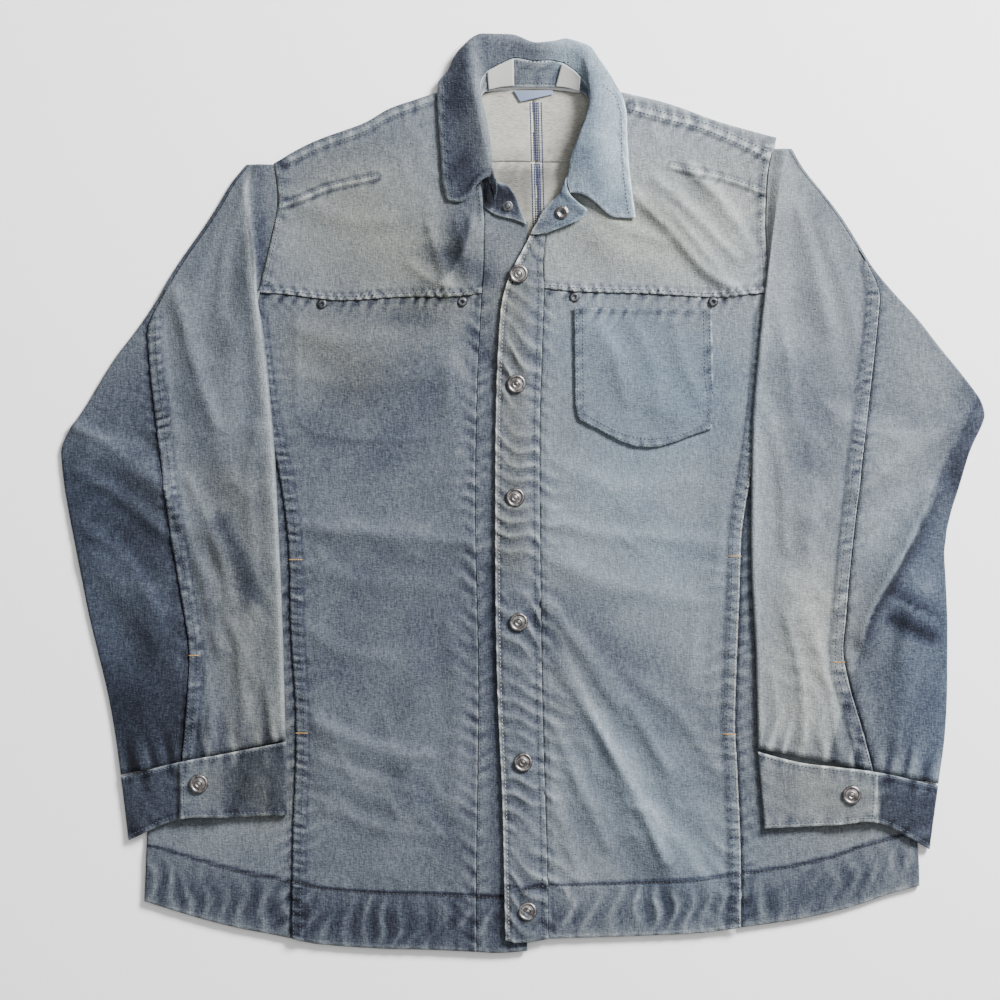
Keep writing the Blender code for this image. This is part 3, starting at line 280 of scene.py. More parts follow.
SLEEVE_RIDGES = [
    ([(-250, 230), (-262, 150), (-262, 60)], 2.0, 12),
    ([(-310, 170), (-290, 90), (-262, 10)], 2.4, 14),
    ([(-390, 40), (-340, 10), (-270, -50)], 3.0, 14),
    ([(-385, -60), (-340, -110), (-290, -200)], 2.6, 13),
    ([(-250, -60), (-245, -130), (-255, -200)], 1.8, 13),
    ([(240, 250), (262, 180), (285, 100)], 2.4, 13),
    ([(230, 120), (240, 40), (250, -40)], 2.0, 13),
    ([(385, 60), (330, 20), (262, -20)], 2.4, 15),
    ([(368, 0), (338, -62), (308, -130)], 3.4, 12),
    ([(240, -90), (262, -150), (268, -215)], 2.0, 14),
    ([(360, -90), (345, -140), (330, -215)], 2.2, 13),
]
print("large folds:", len(RIDGES) + len(SLEEVE_RIDGES))

# %% [markdown]
# The finer creases are only here. They are given in the same way.

# %% Finer creases
FRONT_CREASES = [
    ([(-84, 240), (-74, 205), (-66, 178)], 1.5, 5),
    ([(-60, 246), (-52, 214), (-48, 186)], 1.3, 5),
    ([(-100, 205), (-80, 190), (-60, 184)], 1.0, 5),
    ([(-200, 262), (-160, 246), (-120, 246)], 0.8, 8),
    ([(-205, 150), (-170, 138), (-120, 140)], 0.7, 7),
    ([(-205, 108), (-150, 98), (-90, 106)], 0.6, 7),
    ([(-200, -30), (-150, -34), (-90, -40), (-30, -46)], 0.9, 7),
    ([(-195, -66), (-140, -80), (-80, -82)], 0.6, 8),
    ([(-186, -205), (-150, -222), (-110, -234), (-84, -236)], 1.2, 6),
    ([(-180, -240), (-140, -256), (-100, -268)], 1.0, 6),
    ([(-176, -282), (-130, -300), (-80, -308)], 0.9, 7),
    ([(-196, -120), (-166, -140), (-120, -150)], 0.7, 7),
    ([(-70, 110), (-60, 50), (-62, -10)], 0.6, 8),
    ([(-66, -120), (-58, -200), (-62, -290)], 0.8, 8),
    ([(98, 270), (132, 236), (164, 200), (190, 184)], 1.6, 5),
    ([(120, 282), (158, 246), (190, 212)], 1.3, 5),
    ([(150, 292), (186, 254), (208, 214)], 1.2, 5),
    ([(60, 262), (90, 240), (128, 226)], 0.9, 6),
    ([(70, 150), (84, 120), (92, 84)], 0.8, 6),
    ([(100, 150), (118, 112), (120, 76)], 0.7, 7),
    ([(136, 152), (144, 118), (160, 84)], 0.7, 6),
    ([(20, -100), (44, -130), (84, -190)], 1.4, 6),
    ([(30, -150), (60, -200), (98, -262), (128, -330)], 1.8, 6),
    ([(50, -130), (96, -190), (130, -250)], 1.2, 6),
    ([(28, -210), (50, -260), (76, -318)], 1.2, 6),
    ([(24, -270), (40, -310), (50, -350)], 0.9, 6),
    ([(90, -160), (140, -200), (176, -252)], 1.0, 7),
    ([(120, -290), (150, -330), (172, -362)], 1.0, 7),
    ([(24, -24), (80, -38), (140, -40), (188, -50)], 0.9, 7),
    ([(40, 20), (90, 6), (150, 10)], 0.6, 8),
    ([(36, -62), (80, -84), (150, -96)], 0.7, 8),
    ([(180, -60), (160, -110), (150, -170)], 0.7, 8),
]
# %% [markdown]
# On the sleeves the creases run from the armhole and the elbow towards the cuff.

# %% Finer creases of the sleeves
SLEEVE_CREASES = [
    ([(-250, 270), (-268, 220), (-272, 160)], 1.0, 6),
    ([(-262, 262), (-290, 200), (-300, 150)], 0.8, 7),
    ([(-312, 178), (-296, 120), (-276, 60)], 1.3, 6),
    ([(-330, 150), (-322, 100), (-312, 50)], 1.0, 6),
    ([(-404, 60), (-366, 40), (-322, 4)], 1.6, 6),
    ([(-400, 20), (-352, -10), (-312, -44)], 1.5, 6),
    ([(-396, -30), (-358, -60), (-326, -110)], 1.4, 6),
    ([(-300, 10), (-276, -40), (-262, -100)], 1.5, 6),
    ([(-308, -20), (-288, -80), (-272, -140)], 1.3, 6),
    ([(-290, -60), (-262, -120), (-240, -170)], 1.2, 6),
    ([(-240, 60), (-246, 0), (-240, -70)], 0.9, 6),
    ([(-256, -150), (-250, -190), (-252, -216)], 1.1, 5),
    ([(-236, -150), (-228, -190), (-226, -216)], 1.0, 5),
    ([(-284, -160), (-280, -200), (-282, -226)], 1.0, 5),
    ([(244, 262), (262, 210), (276, 150)], 1.1, 6),
    ([(270, 236), (290, 180), (304, 120)], 0.9, 7),
    ([(228, 170), (240, 110), (246, 60)], 1.0, 6),
    ([(216, 80), (232, 20), (236, -50)], 1.0, 6),
    ([(256, 60), (262, 0), (256, -60)], 0.8, 7),
    ([(404, 70), (352, 40), (300, 0)], 1.3, 7),
    ([(398, 40), (350, 0), (306, -30)], 1.0, 6),
    ([(372, 4), (350, -40), (322, -90), (306, -140)], 2.0, 6),
    ([(380, -40), (356, -90), (338, -150)], 1.3, 6),
    ([(372, -110), (352, -160), (334, -226)], 1.2, 6),
    ([(236, -110), (250, -170), (252, -222)], 1.2, 5),
    ([(262, -130), (276, -180), (284, -230)], 1.1, 5),
    ([(222, -160), (228, -196), (230, -222)], 1.0, 5),
    ([(300, -150), (306, -190), (318, -236)], 1.0, 6),
]
# %% [markdown]
# A few folds lie over themselves. Each has its line, lift, half width on the gentle and on the
# sharp side, then the painted shadow beyond its sharp side and how far it reaches, and how pale
# its crest is, a painted highlight.

# %% Folds that lie over themselves
RIDGE_R = [(-214, -226), (-217, -114), (-221, -24), (-229, 84), (-239, 174), (-247, 264), (-246, 292)]
ELBOW_L = [(302, -141), (313, -105), (339, -60), (372, 10)]
SLEEVE_LAPS = [
    # Along the right sleeve's inner ridge: a painted highlight on the crest and painted shade in the
    # crevice towards the body.
    (RIDGE_R, 2.4, 12, 2.6, -0.20, 12, 0.17),
    (ELBOW_L, 3.8, 22, 1.6, -0.14, 150, 0.04),
    # This one lifts nothing: it is only a narrow painted shadow at the foot of the elbow fold.
    (ELBOW_L, 0.0, 22, 2.0, -0.26, 9, 0.0),
    # Painted shadow beyond a small fold near the left elbow.
    ([(366, -112), (350, -104), (332, -92)], 3.4, 8, 2.4, -0.30, 9, 0.06),
]
FRONT_LAPS = [
    ([(-44, 258), (-50, 224), (-66, 196), (-88, 180)], 1.8, 14, 5.0, -0.10, 12, 0.05),
    ([(128, 262), (152, 232), (186, 190)], 1.4, 12, 5.0, -0.07, 10, 0.05),
    ([(26, -120), (54, -180), (92, -260), (128, -330)], 1.4, 14, 6.0, -0.06, 14, 0.05),
]
# %% [markdown]
# Stitching draws up short wrinkles. Each place has its line, reach, the heading they lie across,
# their spacing and height, and how far the crests fade; that tone also paints light on the crests
# and shade in the troughs.

# %% Short wrinkles
FRONT_CRUMPLES = [
    ([(193, -380), (188, -217), (190, -57)], 28, 74, 15, 1.6, 0.15),
    ([(-205, -380), (-201, -216), (-206, -60)], 24, 106, 15, 1.4, 0.13),
    ([(26, -390), (24, -300), (20, -150), (18, 20)], 18, 60, 15, 2.0, 0.18),
    ([(-48, -395), (-46, -300), (-46, -150), (-46, 60)], 16, 66, 14, 1.4, 0.14),
    ([(23, -378), (96, -376), (196, -368), (291, -350), (352, -334)], 22, 3, 18, 3.0, 0.34),
    ([(-42, -390), (-129, -384), (-208, -374), (-271, -362), (-336, -346)], 22, -3, 18, 3.0, 0.34),
    ([(24, 172), (116, 170), (216, 170)], 8, 14, 8, 0.9, 0.12),
    ([(-44, 170), (-114, 168), (-232, 171)], 8, 14, 8, 0.9, 0.12),
    ([(60, -240), (120, -310)], 50, 40, 34, 1.8, 0.07),
    ([(-160, -220), (-80, -300)], 50, 70, 36, 1.6, 0.07),
    ([(-170, -40), (-60, -60)], 40, 84, 38, 1.0, 0.05),
    ([(40, -20), (170, -50)], 34, 95, 36, 1.0, 0.05),
    ([(214, 100), (212, 0), (206, -60)], 12, 80, 13, 0.8, 0.10),
    ([(-222, 130), (-214, 60), (-208, -30)], 12, 100, 13, 0.8, 0.10),
    ([(120, 300), (200, 250)], 40, 50, 30, 1.2, 0.06),
    ([(-90, 300), (-60, 230)], 34, 20, 26, 1.2, 0.06),
]
PLACKET_CRUMPLES = [([(6, -398), (2, -240), (-3, -100), (-5, 40), (-3, 190)], 34, 64, 15, 3.2, 0.30)]
SLEEVE_CRUMPLES = [
    ([(-222, -200), (-300, -222), (-350, -236)], 20, 4, 15, 1.4, 0.10),
    ([(216, -208), (300, -226), (366, -240)], 20, -4, 15, 1.4, 0.10),
    ([(-330, 20), (-300, -120)], 26, 62, 22, 1.4, 0.07),
    ([(-400, 10), (-350, -90)], 30, 120, 26, 1.4, 0.05),
    ([(-250, 40), (-236, -120)], 26, 60, 26, 1.5, 0.06),
    ([(262, 60), (270, -100)], 30, 66, 28, 1.3, 0.05),
    ([(240, -120), (268, -210)], 30, 60, 20, 1.6, 0.07),
    ([(350, 60), (330, -20)], 30, 60, 24, 1.4, 0.05),
]
CUFF_CRUMPLES = [
    ([(-214, -256), (-350, -284)], 40, 12, 15, 0.9, 0.09),
    ([(216, -268), (360, -296)], 40, 96, 17, 0.8, 0.08),
]
print("creases:", len(FRONT_CREASES) + len(SLEEVE_CREASES))

# %% [markdown]
# Curves and patches. A piece is a net of threads: rows go up and columns go to the right. The patch
# fills the space inside four edges, the way a draper blends them, and so neighbours share a seam.

# %% Curves through a few points
def smooth_curve(points, count):
    """Points evenly spaced along a smooth curve through the given ones."""
    p = np.array(points, float)
    ends = np.vstack([2 * p[0] - p[1], p, 2 * p[-1] - p[-2]])
    t = np.linspace(0, 1, 12, endpoint=False)[:, None]
    pieces = []
    for a, b, c, d in zip(ends, ends[1:], ends[2:], ends[3:]):
        cubic = (2 * a - 5 * b + 4 * c - d) * t**2 + (3 * b - a - 3 * c + d) * t**3
        pieces.append(0.5 * (2 * b + (c - a) * t + cubic))
    dense = np.vstack(pieces + [p[-1:]])
    run = np.append(0, np.cumsum(np.linalg.norm(np.diff(dense, axis=0), axis=1)))
    where = np.linspace(0, run[-1], count)
    return np.column_stack([np.interp(where, run, dense[:, k]) for k in range(dense.shape[1])])


def joined(*stretches):
    """One line from several stretches, each given as its outline and its number of steps."""
    lines = [smooth_curve(points, steps + 1) for points, steps in stretches]
    return np.vstack([lines[0], *[line[1:] for line in lines[1:]]])


def patch(bottom, top, left, right, across, up=None):
    """A grid of flat points, rows from bottom to top, filling the space inside four outlines."""
    low = smooth_curve(bottom, across + 1)
    high = smooth_curve(top, across + 1)
    sized = [side for side in (left, right) if isinstance(side, np.ndarray)]
    rows = len(sized[0]) if sized else up + 1
    near = left if isinstance(left, np.ndarray) else smooth_curve(left, rows)
    far = right if isinstance(right, np.ndarray) else smooth_curve(right, rows)
    u = np.linspace(0, 1, across + 1)[None, :, None]
    v = np.linspace(0, 1, rows)[:, None, None]
    ruled = (1 - v) * low[None] + v * high[None] + (1 - u) * near[:, None] + u * far[:, None]
    corners = (1 - u) * (1 - v) * low[0] + u * (1 - v) * low[-1]
    corners = corners + (1 - u) * v * high[0] + u * v * high[-1]
    return ruled - corners


# %% [markdown]
# Neighbours stay apart at a seam, and each fold adds a soft ridge to the cloth.

# %% Seam gaps, steps and ridges
def trimmed(grid, amount=SEAM_GAP / 2):
    """The grid with its four borders drawn in, which leaves a gap at each seam."""
    grid = grid.copy()
    for border, inner in ((0, 1), (-1, -2)):
        step = grid[inner] - grid[border]
        grid[border] += step / np.linalg.norm(step, axis=-1, keepdims=True) * amount
    for border, inner in ((0, 1), (-1, -2)):
        step = grid[:, inner] - grid[:, border]
        grid[:, border] += step / np.linalg.norm(step, axis=-1, keepdims=True) * amount
    return grid


def ease(value):
    """0 below 0, 1 above 1 and a smooth step between."""
    t = np.clip(value, 0, 1)
    return t * t * (3 - 2 * t)


def ridge_height(x, y, ridges):
    """Height that the folds add at each point."""
    total = np.zeros(np.shape(x))
    for points, height, width in ridges:
        low, high = np.min(points, axis=0) - 3 * width, np.max(points, axis=0) + 3 * width
        if x.max() < low[0] or x.min() > high[0] or y.max() < low[1] or y.min() > high[1]:
            continue
        run = np.linalg.norm(np.diff(points, axis=0), axis=1).sum()
        line = smooth_curve(points, max(14, int(2 * run / width)))
        away = np.hypot(x[..., None] - line[:, 0], y[..., None] - line[:, 1]).min(axis=-1)
        total = total + height * np.exp(-((away / width) ** 2))
    return total


def level(grid, height):
    return np.dstack([grid, np.full(grid.shape[:2], float(height))])


def shifted(points, dx, dy):
    return [(x + dx, y + dy) for x, y in points]

# %% [markdown]
# The solids use wide nets. Cloth needs a fine one, so each net is refined on smooth curves through
# its points. That keeps every piece on the lines of its solid.

# %% A finer net
def finer(net, times_up, times_across):
    """The same net with more rows and columns, on smooth curves through its points."""
    for axis, times in ((0, times_up), (1, times_across)):
        p = np.moveaxis(net, axis, 0)
        step = np.diff(p, axis=0)
        size = np.maximum(np.linalg.norm(step, axis=-1, keepdims=True), 1e-9)
        way = step / size
        short = np.minimum(size[:-1], size[1:])
        slope = np.concatenate([step[:1], (way[:-1] + way[1:]) / 2 * short, step[-1:]])
        t = (np.arange(times) / times)[None, :, None, None]
        a, b = p[:-1, None], p[1:, None]
        out, into = slope[:-1, None], slope[1:, None]
        fine = a * (2 * t**3 - 3 * t**2 + 1) + out * (t**3 - 2 * t**2 + t)
        fine = fine + b * (3 * t**2 - 2 * t**3) + into * (t**3 - t**2)
        fine = fine.reshape(-1, *fine.shape[2:])
        net = np.moveaxis(np.concatenate([fine, p[-1:]]), 0, axis)
    return net


def facing(net):
    """The direction that each point of a net faces."""
    along = np.gradient(net, axis=1)
    up = np.gradient(net, axis=0)
    normal = np.cross(along, up)
    return normal / np.maximum(np.linalg.norm(normal, axis=-1, keepdims=True), 1e-9)


# %% [markdown]
# ## What sewing and washing do to denim
# A felled seam is a raised strip with two rows of stitches. The thread shrinks less than the
# cloth, so the strip puckers like a rope. In the wash its crests go pale, and its ditches stay
# dark; their dark is also painted shade. Each seam below is described once, and gives both the
# relief and the wash near it.

# %% Relief, wash and painted shade beside a seam
FAR = 1e9


def spans(x, y, line):
    """For each span of a line: distance, run to the nearest point, and 1 on its right or -1."""
    start, step = line[:-1], np.diff(line, axis=0)
    size = np.maximum((step**2).sum(axis=1), 1e-9)
    run = np.append(0, np.cumsum(np.sqrt(size)))[:-1]
    for (sx, sy), (dx, dy), s2, r in zip(start, step, size, run):
        t = np.clip(((x - sx) * dx + (y - sy) * dy) / s2, 0, 1)
        away = np.hypot(x - sx - t * dx, y - sy - t * dy)
        side = np.where((x - sx) * dy - (y - sy) * dx > 0, 1.0, -1.0)
        yield away, r + t * np.sqrt(s2), side


def near_line(x, y, points):
    """Distance to a curve, and how far along it the nearest point lies."""
    line = smooth_curve(points, max(12, int(np.ptp(np.array(points), axis=0).max() / 5)))
    best, along = np.full(x.shape, FAR), np.zeros(x.shape)
    for away, run, _ in spans(x, y, line):
        along = np.where(away < best, run, along)
        best = np.minimum(best, away)
    return best, along


def beyond_line(x, y, points):
    """Distance to a curve: above 0 to the right of its run, below 0 to the left."""
    best = signed = np.full(x.shape, FAR)
    for away, _, side in spans(x, y, smooth_curve(points, 40)):
        signed = np.where(away < best, away * side, signed)
        best = np.minimum(best, away)
    return signed


def laps_at(x, y, laps):
    """Height of folds that lie over themselves, gentle on the left and sharp on the right, and
    the painted shadow beyond the sharp side and painted highlight on the crest.
    """
    height = np.zeros(x.shape)
    wash_and_shading = np.zeros(x.shape)
    for points, lift, gentle, sharp, shade_beyond, reach, crest in laps:
        d = beyond_line(x, y, points)
        (ax, ay), (bx, by) = points[0], points[-1]
        calm = ease(np.minimum(np.hypot(x - ax, y - ay), np.hypot(x - bx, y - by)) / 18)
        height += lift * calm * np.exp(-(np.where(d < 0, d / gentle, d / sharp) ** 2))
        beyond = ease((d + 0.5) / 3) * np.exp(-((np.maximum(d, 0) / reach) ** 2))
        wash_and_shading += shade_beyond * beyond * (0.4 + 0.6 * calm)
        wash_and_shading += crest * calm * np.exp(-(((d + 1.5) / 3.0) ** 2))
    return height, wash_and_shading


def crumples_at(x, y, crumples):
    """Height of short broken wrinkles near a line, lying across a given heading, and their tone:
    faded crests and darker troughs, partly wear and partly painted light and shade.
    """
    height = np.zeros(x.shape)
    wash_and_shading = np.zeros(x.shape)
    for seed, (points, reach, heading, wave, lift, crest_fade_and_shading) in enumerate(crumples):
        near = np.clip(ridge_height(x, y, [(points, 1.15, reach)]), 0, 1)
        turn = np.radians(heading)
        u = x * np.cos(turn) + y * np.sin(turn)
        v = y * np.cos(turn) - x * np.sin(turn)
        phase = np.pi * u / wave + 1.1 * np.sin(v / (1.1 * wave) + seed) + 0.9 * np.sin(u / 29 + 2 * seed)
        phase += 0.6 * np.sin(v / 6.7 - u / 17 + 3 * seed) + 0.5 * np.sin(u / 61 + v / 43)
        crest = (1 - np.abs(np.sin(phase))) ** 1.3
        patch_of = 0.55 + 0.45 * np.sin(v / 17 + u / 23 + 1.7 * seed) * np.sin(u / 37 - v / 51 + seed)
        height += lift * crest * patch_of * near
        wash_and_shading += crest_fade_and_shading * (crest - 0.35) * patch_of * near
    return height, wash_and_shading


# %% [markdown]
# A pucker is a wave along the seam that wanders a little, so that no two are the same.

# %% Puckers and felled strips
def waver(s, seed):
    """A slow wander between about -1 and 1 along a seam, the same on every run."""
    slow = 0.5 * np.sin(s * 0.071 + seed) + 0.3 * np.sin(s * 0.043 + 2.1 * seed)
    return slow + 0.2 * np.sin(s * 0.163 + 3.7 * seed)


def ripple(s, d, wave, slant, seed):
    """Puckers along a seam, from -1 in a trough to 1 on a crest."""
    turn = 2 * np.pi * (s + slant * d) / wave + 2.4 * waver(s, seed)
    return 0.75 * np.sin(turn) + 0.25 * np.sin(1.9 * turn + 1.3 + seed)


NO_SEAM = 60.0


def sewn(points, strip=9, lift=0.8, pucker=0.6, wave=12, reach=12, slant=0.5, white=0.16, ditch=0.12):
    """A seam: its line, strip width and height, the puckers' height, spacing, reach and slant, how
    much its edge is whitened (below 0 it is darkened, which at the side panels is painted shadow)
    and how dark its ditch is, which is partly painted shade."""
    return points, strip, lift, pucker, wave, reach, slant, white, ditch


def seam_work(x, y, seams):
    """Height, tone and painted shade that a piece's seams give at each point, and distance to the nearest
    one.
    """
    height = np.zeros(x.shape)
    wash_and_shading = np.zeros(x.shape)
    nearest = np.full(x.shape, NO_SEAM)
    for seed, seam in enumerate(seams):
        points, strip, lift, pucker, wave, reach, slant, white, ditch = seam
        d, s = near_line(x, y, points)
        wrinkle = ripple(s, d, wave, slant, seed + 1.0)
        fade = np.exp(-((np.maximum(d - strip * 0.8, 0) / reach) ** 2))
        patchy = 0.62 + 0.38 * waver(s * 1.3, seed + 5.0) + 0.2 * waver(s * 3.1, seed + 9.0)
        height += lift * ease((strip + 1.2 - d) / 1.6)
        height += pucker * 0.5 * (1 + wrinkle) * fade * patchy
        # Edges whitened by wear; a white below 0 darkens them instead, which at the side panels is painted
        # shadow of the front's edge.
        wash_and_shading += white * np.exp(-((d / 2.4) ** 2)) * (0.8 + 0.4 * wrinkle)
        wash_and_shading += 0.28 * pucker * wrinkle * fade * patchy
        rungs = ripple(s, d, 6.0, 0.1, seed + 3.0) * ease((strip - d) / 1.2) * ease(d / 1.5)
        wash_and_shading += 0.16 * min(pucker, 0.9) * rungs * patchy
        # The ditch beside the strip and the strip's stitch channel stay dark: kept indigo, and painted
        # shade.
        wash_and_shading -= ditch * np.exp(-(((d - strip - 1.6) / 1.7) ** 2))
        wash_and_shading -= 0.5 * min(ditch, 0.15) * ease((strip - d) / 1.5) * ease(d / 2)
        nearest = np.minimum(nearest, d)
    return height, wash_and_shading, nearest


# %% [markdown]
# The wash isn't even. Sunned and worn areas are given as soft spots and streaks, and so are
# painted shade and light: shadows beside the sleeves, below the right collar leaf and at the
# placket edge, and the light and shade of some folds. Each is a place or a line, a half width,
# and how much paler (above 0) or darker it makes the cloth.

# %% Spots and streaks of the wash and of painted shade and light
BODY_TONES = [
    ([(-190, 130), (-60, 140)], 0.03, 60),
    ([(-196, 110), (-150, 60)], 0.05, 26),
    ([(-200, -60), (-60, -60)], -0.03, 60),
    ([(-120, -120), (-110, -260)], 0.02, 50),
    ([(-60, 232), (-50, 200)], -0.06, 16),
    # Painted shadow that the left placket's edge throws on the cloth to its left, down to the hem:
    ([(-40, 168), (-41, 100), (-42, 30)], -0.06, 7),
    ([(-30, -60), (-27, -200), (-23, -390)], -0.10, 6),
    ([(-28, 150), (-31, 40), (-30, -40)], -0.05, 5),
    ([(-16, 246), (-12, 214)], 0.06, 18),
    ([(70, -120), (140, -190)], -0.07, 34),
    ([(-215, 290), (-120, 320)], -0.08, 20),
    ([(-190, -300), (-60, -320)], 0.01, 50),
    ([(-235, 262), (-120, 310)], 0.04, 40),
    ([(30, 120), (44, 60)], -0.04, 20),
    ([(120, 10), (60, -30)], 0.02, 50),
    ([(180, 100), (176, -60), (180, -200)], -0.05, 18),
    # Painted shadow below the broad fold of the left front:
    ([(40, -110), (100, -180), (170, -260)], -0.12, 26),
    # The hem bands are darker, partly painted shade:
    ([(30, -385), (120, -380), (196, -372), (300, -350)], -0.08, 16),
    ([(-60, -392), (-130, -386), (-208, -376), (-300, -354)], -0.07, 16),
    ([(-170, 90), (-60, 100)], -0.06, 26),
    ([(-130, -110), (-60, -150)], -0.06, 40),
    ([(90, -120), (150, -240)], 0.04, 16),
    ([(24, -120), (40, -220), (50, -330)], -0.05, 12),
    ([(150, 250), (190, 190)], 0.03, 30),
    ([(70, 300), (80, 340)], -0.05, 16),
    ([(210, 200), (214, 290)], -0.05, 12),
    ([(-300, -40), (-310, 30)], -0.16, 40),
    ([(-250, -140), (-256, -220)], -0.05, 34),
    # Painted shade on the body in the crevice beside the right sleeve:
    ([(-230, 20), (-226, -100), (-224, -260)], -0.12, 12),
    # Painted shade on the body beside and under the left sleeve:
    ([(240, -120), (232, 10), (260, 60)], -0.12, 30),
    ([(215, -60), (212, -200), (214, -300)], -0.08, 10),
    ([(230, -300), (330, -310)], 0.02, 30),
    ([(-14, -70), (-10, -180), (-4, -300)], -0.03, 14),
    ([(-150, 66), (-100, 66)], -0.05, 30),
    # Painted shade below the right collar leaf, and painted shadow along the fold from its tip down to the
    # placket:
    ([(-54, 262), (-62, 222)], -0.12, 13),
    ([(-84, 217), (-56, 206), (-34, 192)], -0.15, 11),
    ([(-133, 226), (-70, 228)], 0.05, 8),
    ([(-115, 158), (-84, 156)], -0.08, 9),
    ([(-46, 144), (-34, 124)], -0.13, 7),
    ([(-62, 122), (-48, 100), (-42, 70)], 0.09, 7),
    ([(-190, 56), (-127, 34)], -0.05, 14),
    ([(-224, 240), (-186, 192)], 0.05, 18),
    ([(132, 268), (160, 236), (186, 200)], -0.07, 7),
    ([(60, 226), (74, 196)], -0.04, 14),
    ([(-196, -10), (-120, -30), (-60, -20)], 0.03, 16),
    ([(-180, -150), (-110, -190)], -0.05, 20),
    ([(-110, -250), (-60, -320)], -0.07, 16),
    ([(60, -300), (130, -350)], -0.08, 22),
    ([(-214, -258), (-300, -330)], 0.04, 24),
    ([(90, -140), (120, -160)], -0.04, 26),
    # Painted shadow in the V of the neck:
    ([(-10, 278), (-2, 268)], -0.07, 16),
]
# %% [markdown]
# The sleeves' inner ridges are pale, the right one with a painted highlight, and their outer parts
# keep their indigo. Some dark streaks are painted shade in creases and crevices. Inside, the cloth
# is a little darker below the collar, which is painted shade.

# %% Spots on the sleeves and inside
SLEEVE_TONES = [
    # Painted highlight along the right sleeve's inner ridge, which faces the light:
    ([(-245, 290), (-242, 200), (-234, 90), (-228, 0), (-224, -100), (-219, -215)], 0.13, 5),
    ([(-256, 270), (-268, 160), (-270, 60)], 0.03, 16),
    ([(-300, 190), (-312, 120), (-300, 40)], -0.03, 18),
    ([(-380, 110), (-330, 160)], 0.10, 40),
    ([(-410, 60), (-350, 40), (-318, 20)], 0.07, 26),
    ([(-400, -10), (-340, -60)], -0.05, 26),
    ([(-385, -90), (-330, -120)], -0.06, 30),
    ([(-370, -180), (-320, -220)], -0.12, 40),
    ([(-308, -10), (-292, -70), (-280, -110)], -0.06, 9),
    # Painted shadow in the deep crease of the right sleeve:
    ([(-270, -28), (-255, -60), (-246, -92)], -0.24, 10),
    ([(-372, -80), (-354, -112)], 0.11, 26),
    ([(346, -70), (362, -86)], 0.06, 14),
    # Painted shade in the crevice between the right sleeve's ridge and the armhole:
    ([(-236, 240), (-234, 180)], -0.07, 7),
    ([(250, 110), (260, 30)], -0.13, 22),
    ([(336, -10), (326, -36)], 0.06, 20),
    ([(339, -190), (339, -216)], -0.05, 22),
    ([(262, 250), (272, 190)], -0.05, 26),
    # Painted shadow in the small fold near the left elbow:
    ([(333, -113), (350, -121), (367, -128)], -0.28, 7),
    ([(-262, -30), (-244, -110)], 0.05, 12),
    ([(-250, -130), (-262, -214)], 0.04, 16),
    ([(-318, 60), (-300, -40), (-292, -130)], 0.06, 8),
    ([(226, 290), (220, 200), (212, 100), (208, 0), (208, -120), (214, -226)], 0.09, 6),
    ([(250, 260), (276, 190)], 0.03, 24),
    ([(290, 200), (312, 140)], -0.05, 16),
    ([(300, 120), (296, 20)], -0.04, 20),
    ([(222, 60), (220, -60)], 0.06, 16),
    ([(260, -80), (262, -200)], 0.11, 26),
    ([(340, 150), (380, 90)], 0.03, 26),
    ([(404, 90), (392, 10)], -0.16, 18),
    ([(385, -60), (380, -220)], -0.05, 34),
    ([(330, 40), (320, -40)], 0.05, 18),
    ([(330, -110), (318, -150)], 0.07, 9),
]
# Inside the back: painted shade in the V below the collar and along the foot of the collar, and the
# painted light and shade of one soft wrinkle.
INSIDE_TONES = [
    ([(-6, 286), (0, 262)], -0.20, 20),
    ([(-34, 300), (-20, 280)], -0.10, 12),
    ([(40, 330), (20, 286)], -0.13, 14),
    ([(-40, 366), (45, 366)], -0.10, 8),
    ([(-30, 345), (-10, 310)], 0.05, 10),
    ([(-26, 330), (-4, 300)], -0.07, 4),
]
SUN_SPOTS = [
    ([(-150, 250), (-90, 200)], 0.9, 60),
    ([(-180, 130), (-150, 110)], 0.7, 34),
    ([(90, 240), (60, 210)], 0.8, 50),
    ([(140, 210), (190, 260)], 0.5, 50),
    ([(-10, 180), (-8, 60), (-10, -60)], 0.7, 16),
    ([(-230, -250), (-250, -120), (-262, 0)], 0.6, 34),
    ([(262, -100), (250, -200)], 0.6, 40),
    ([(-265, -260), (-230, -280)], 0.5, 24),
    ([(240, -270), (300, -280)], 0.5, 30),
    ([(75, 150), (150, 90)], -0.9, 60),
    ([(80, 0), (130, -60)], -0.6, 70),
    ([(90, -240), (150, -330)], -0.6, 60),
    ([(370, -60), (380, -230)], -0.8, 50),
    ([(-400, -10), (-370, -200)], -0.5, 60),
]


def wash_noise(x, y, seed=0.0):
    """Broad uneven dye, from a few slow waves that cross."""
    a = np.sin(x * 0.021 + 1.3 + seed) * np.sin(y * 0.017 + 0.4 - seed)
    b = np.sin(x * 0.047 + y * 0.031 + 2.2 * seed) * np.sin(y * 0.053 - x * 0.023 + 0.9)
    return 0.6 * a + 0.4 * b
print("spots of wash:", len(BODY_TONES) + len(SLEEVE_TONES))

# %% [markdown]
# A sheet of cloth starts as a flat grid, and each of its points goes to a place of the fine net. A
# Solidify modifier then gives it its thickness, with the reverse of the denim on the inner side.
# The wash, with the painted shade and light, is kept on the points as attributes, which the materials
# read.

# %% Make a sheet of cloth
DRESSED = {}
FLAT_SIZES = {}
LEAST_FILL = 0.31
UNEVEN = 0.018


def linked(name, data):
    """An object for a mesh, a lamp or a camera, put into the scene."""
    made = bpy.data.objects.new(name, data)
    bpy.context.scene.collection.objects.link(made)
    return made


def sheet_sizes(net):
    """Width, length and area of a net in metres, as the cut piece would measure laid out flat."""
    across = np.linalg.norm(np.diff(net, axis=1), axis=-1).sum(axis=1)
    up = np.linalg.norm(np.diff(net, axis=0), axis=-1).sum(axis=0)
    side = np.linalg.norm(np.cross(net[1:, 1:] - net[:-1, :-1], net[1:, :-1] - net[:-1, 1:]), axis=-1)
    return across.max() * MM, up.max() * MM, side.sum() / 2 * MM * MM


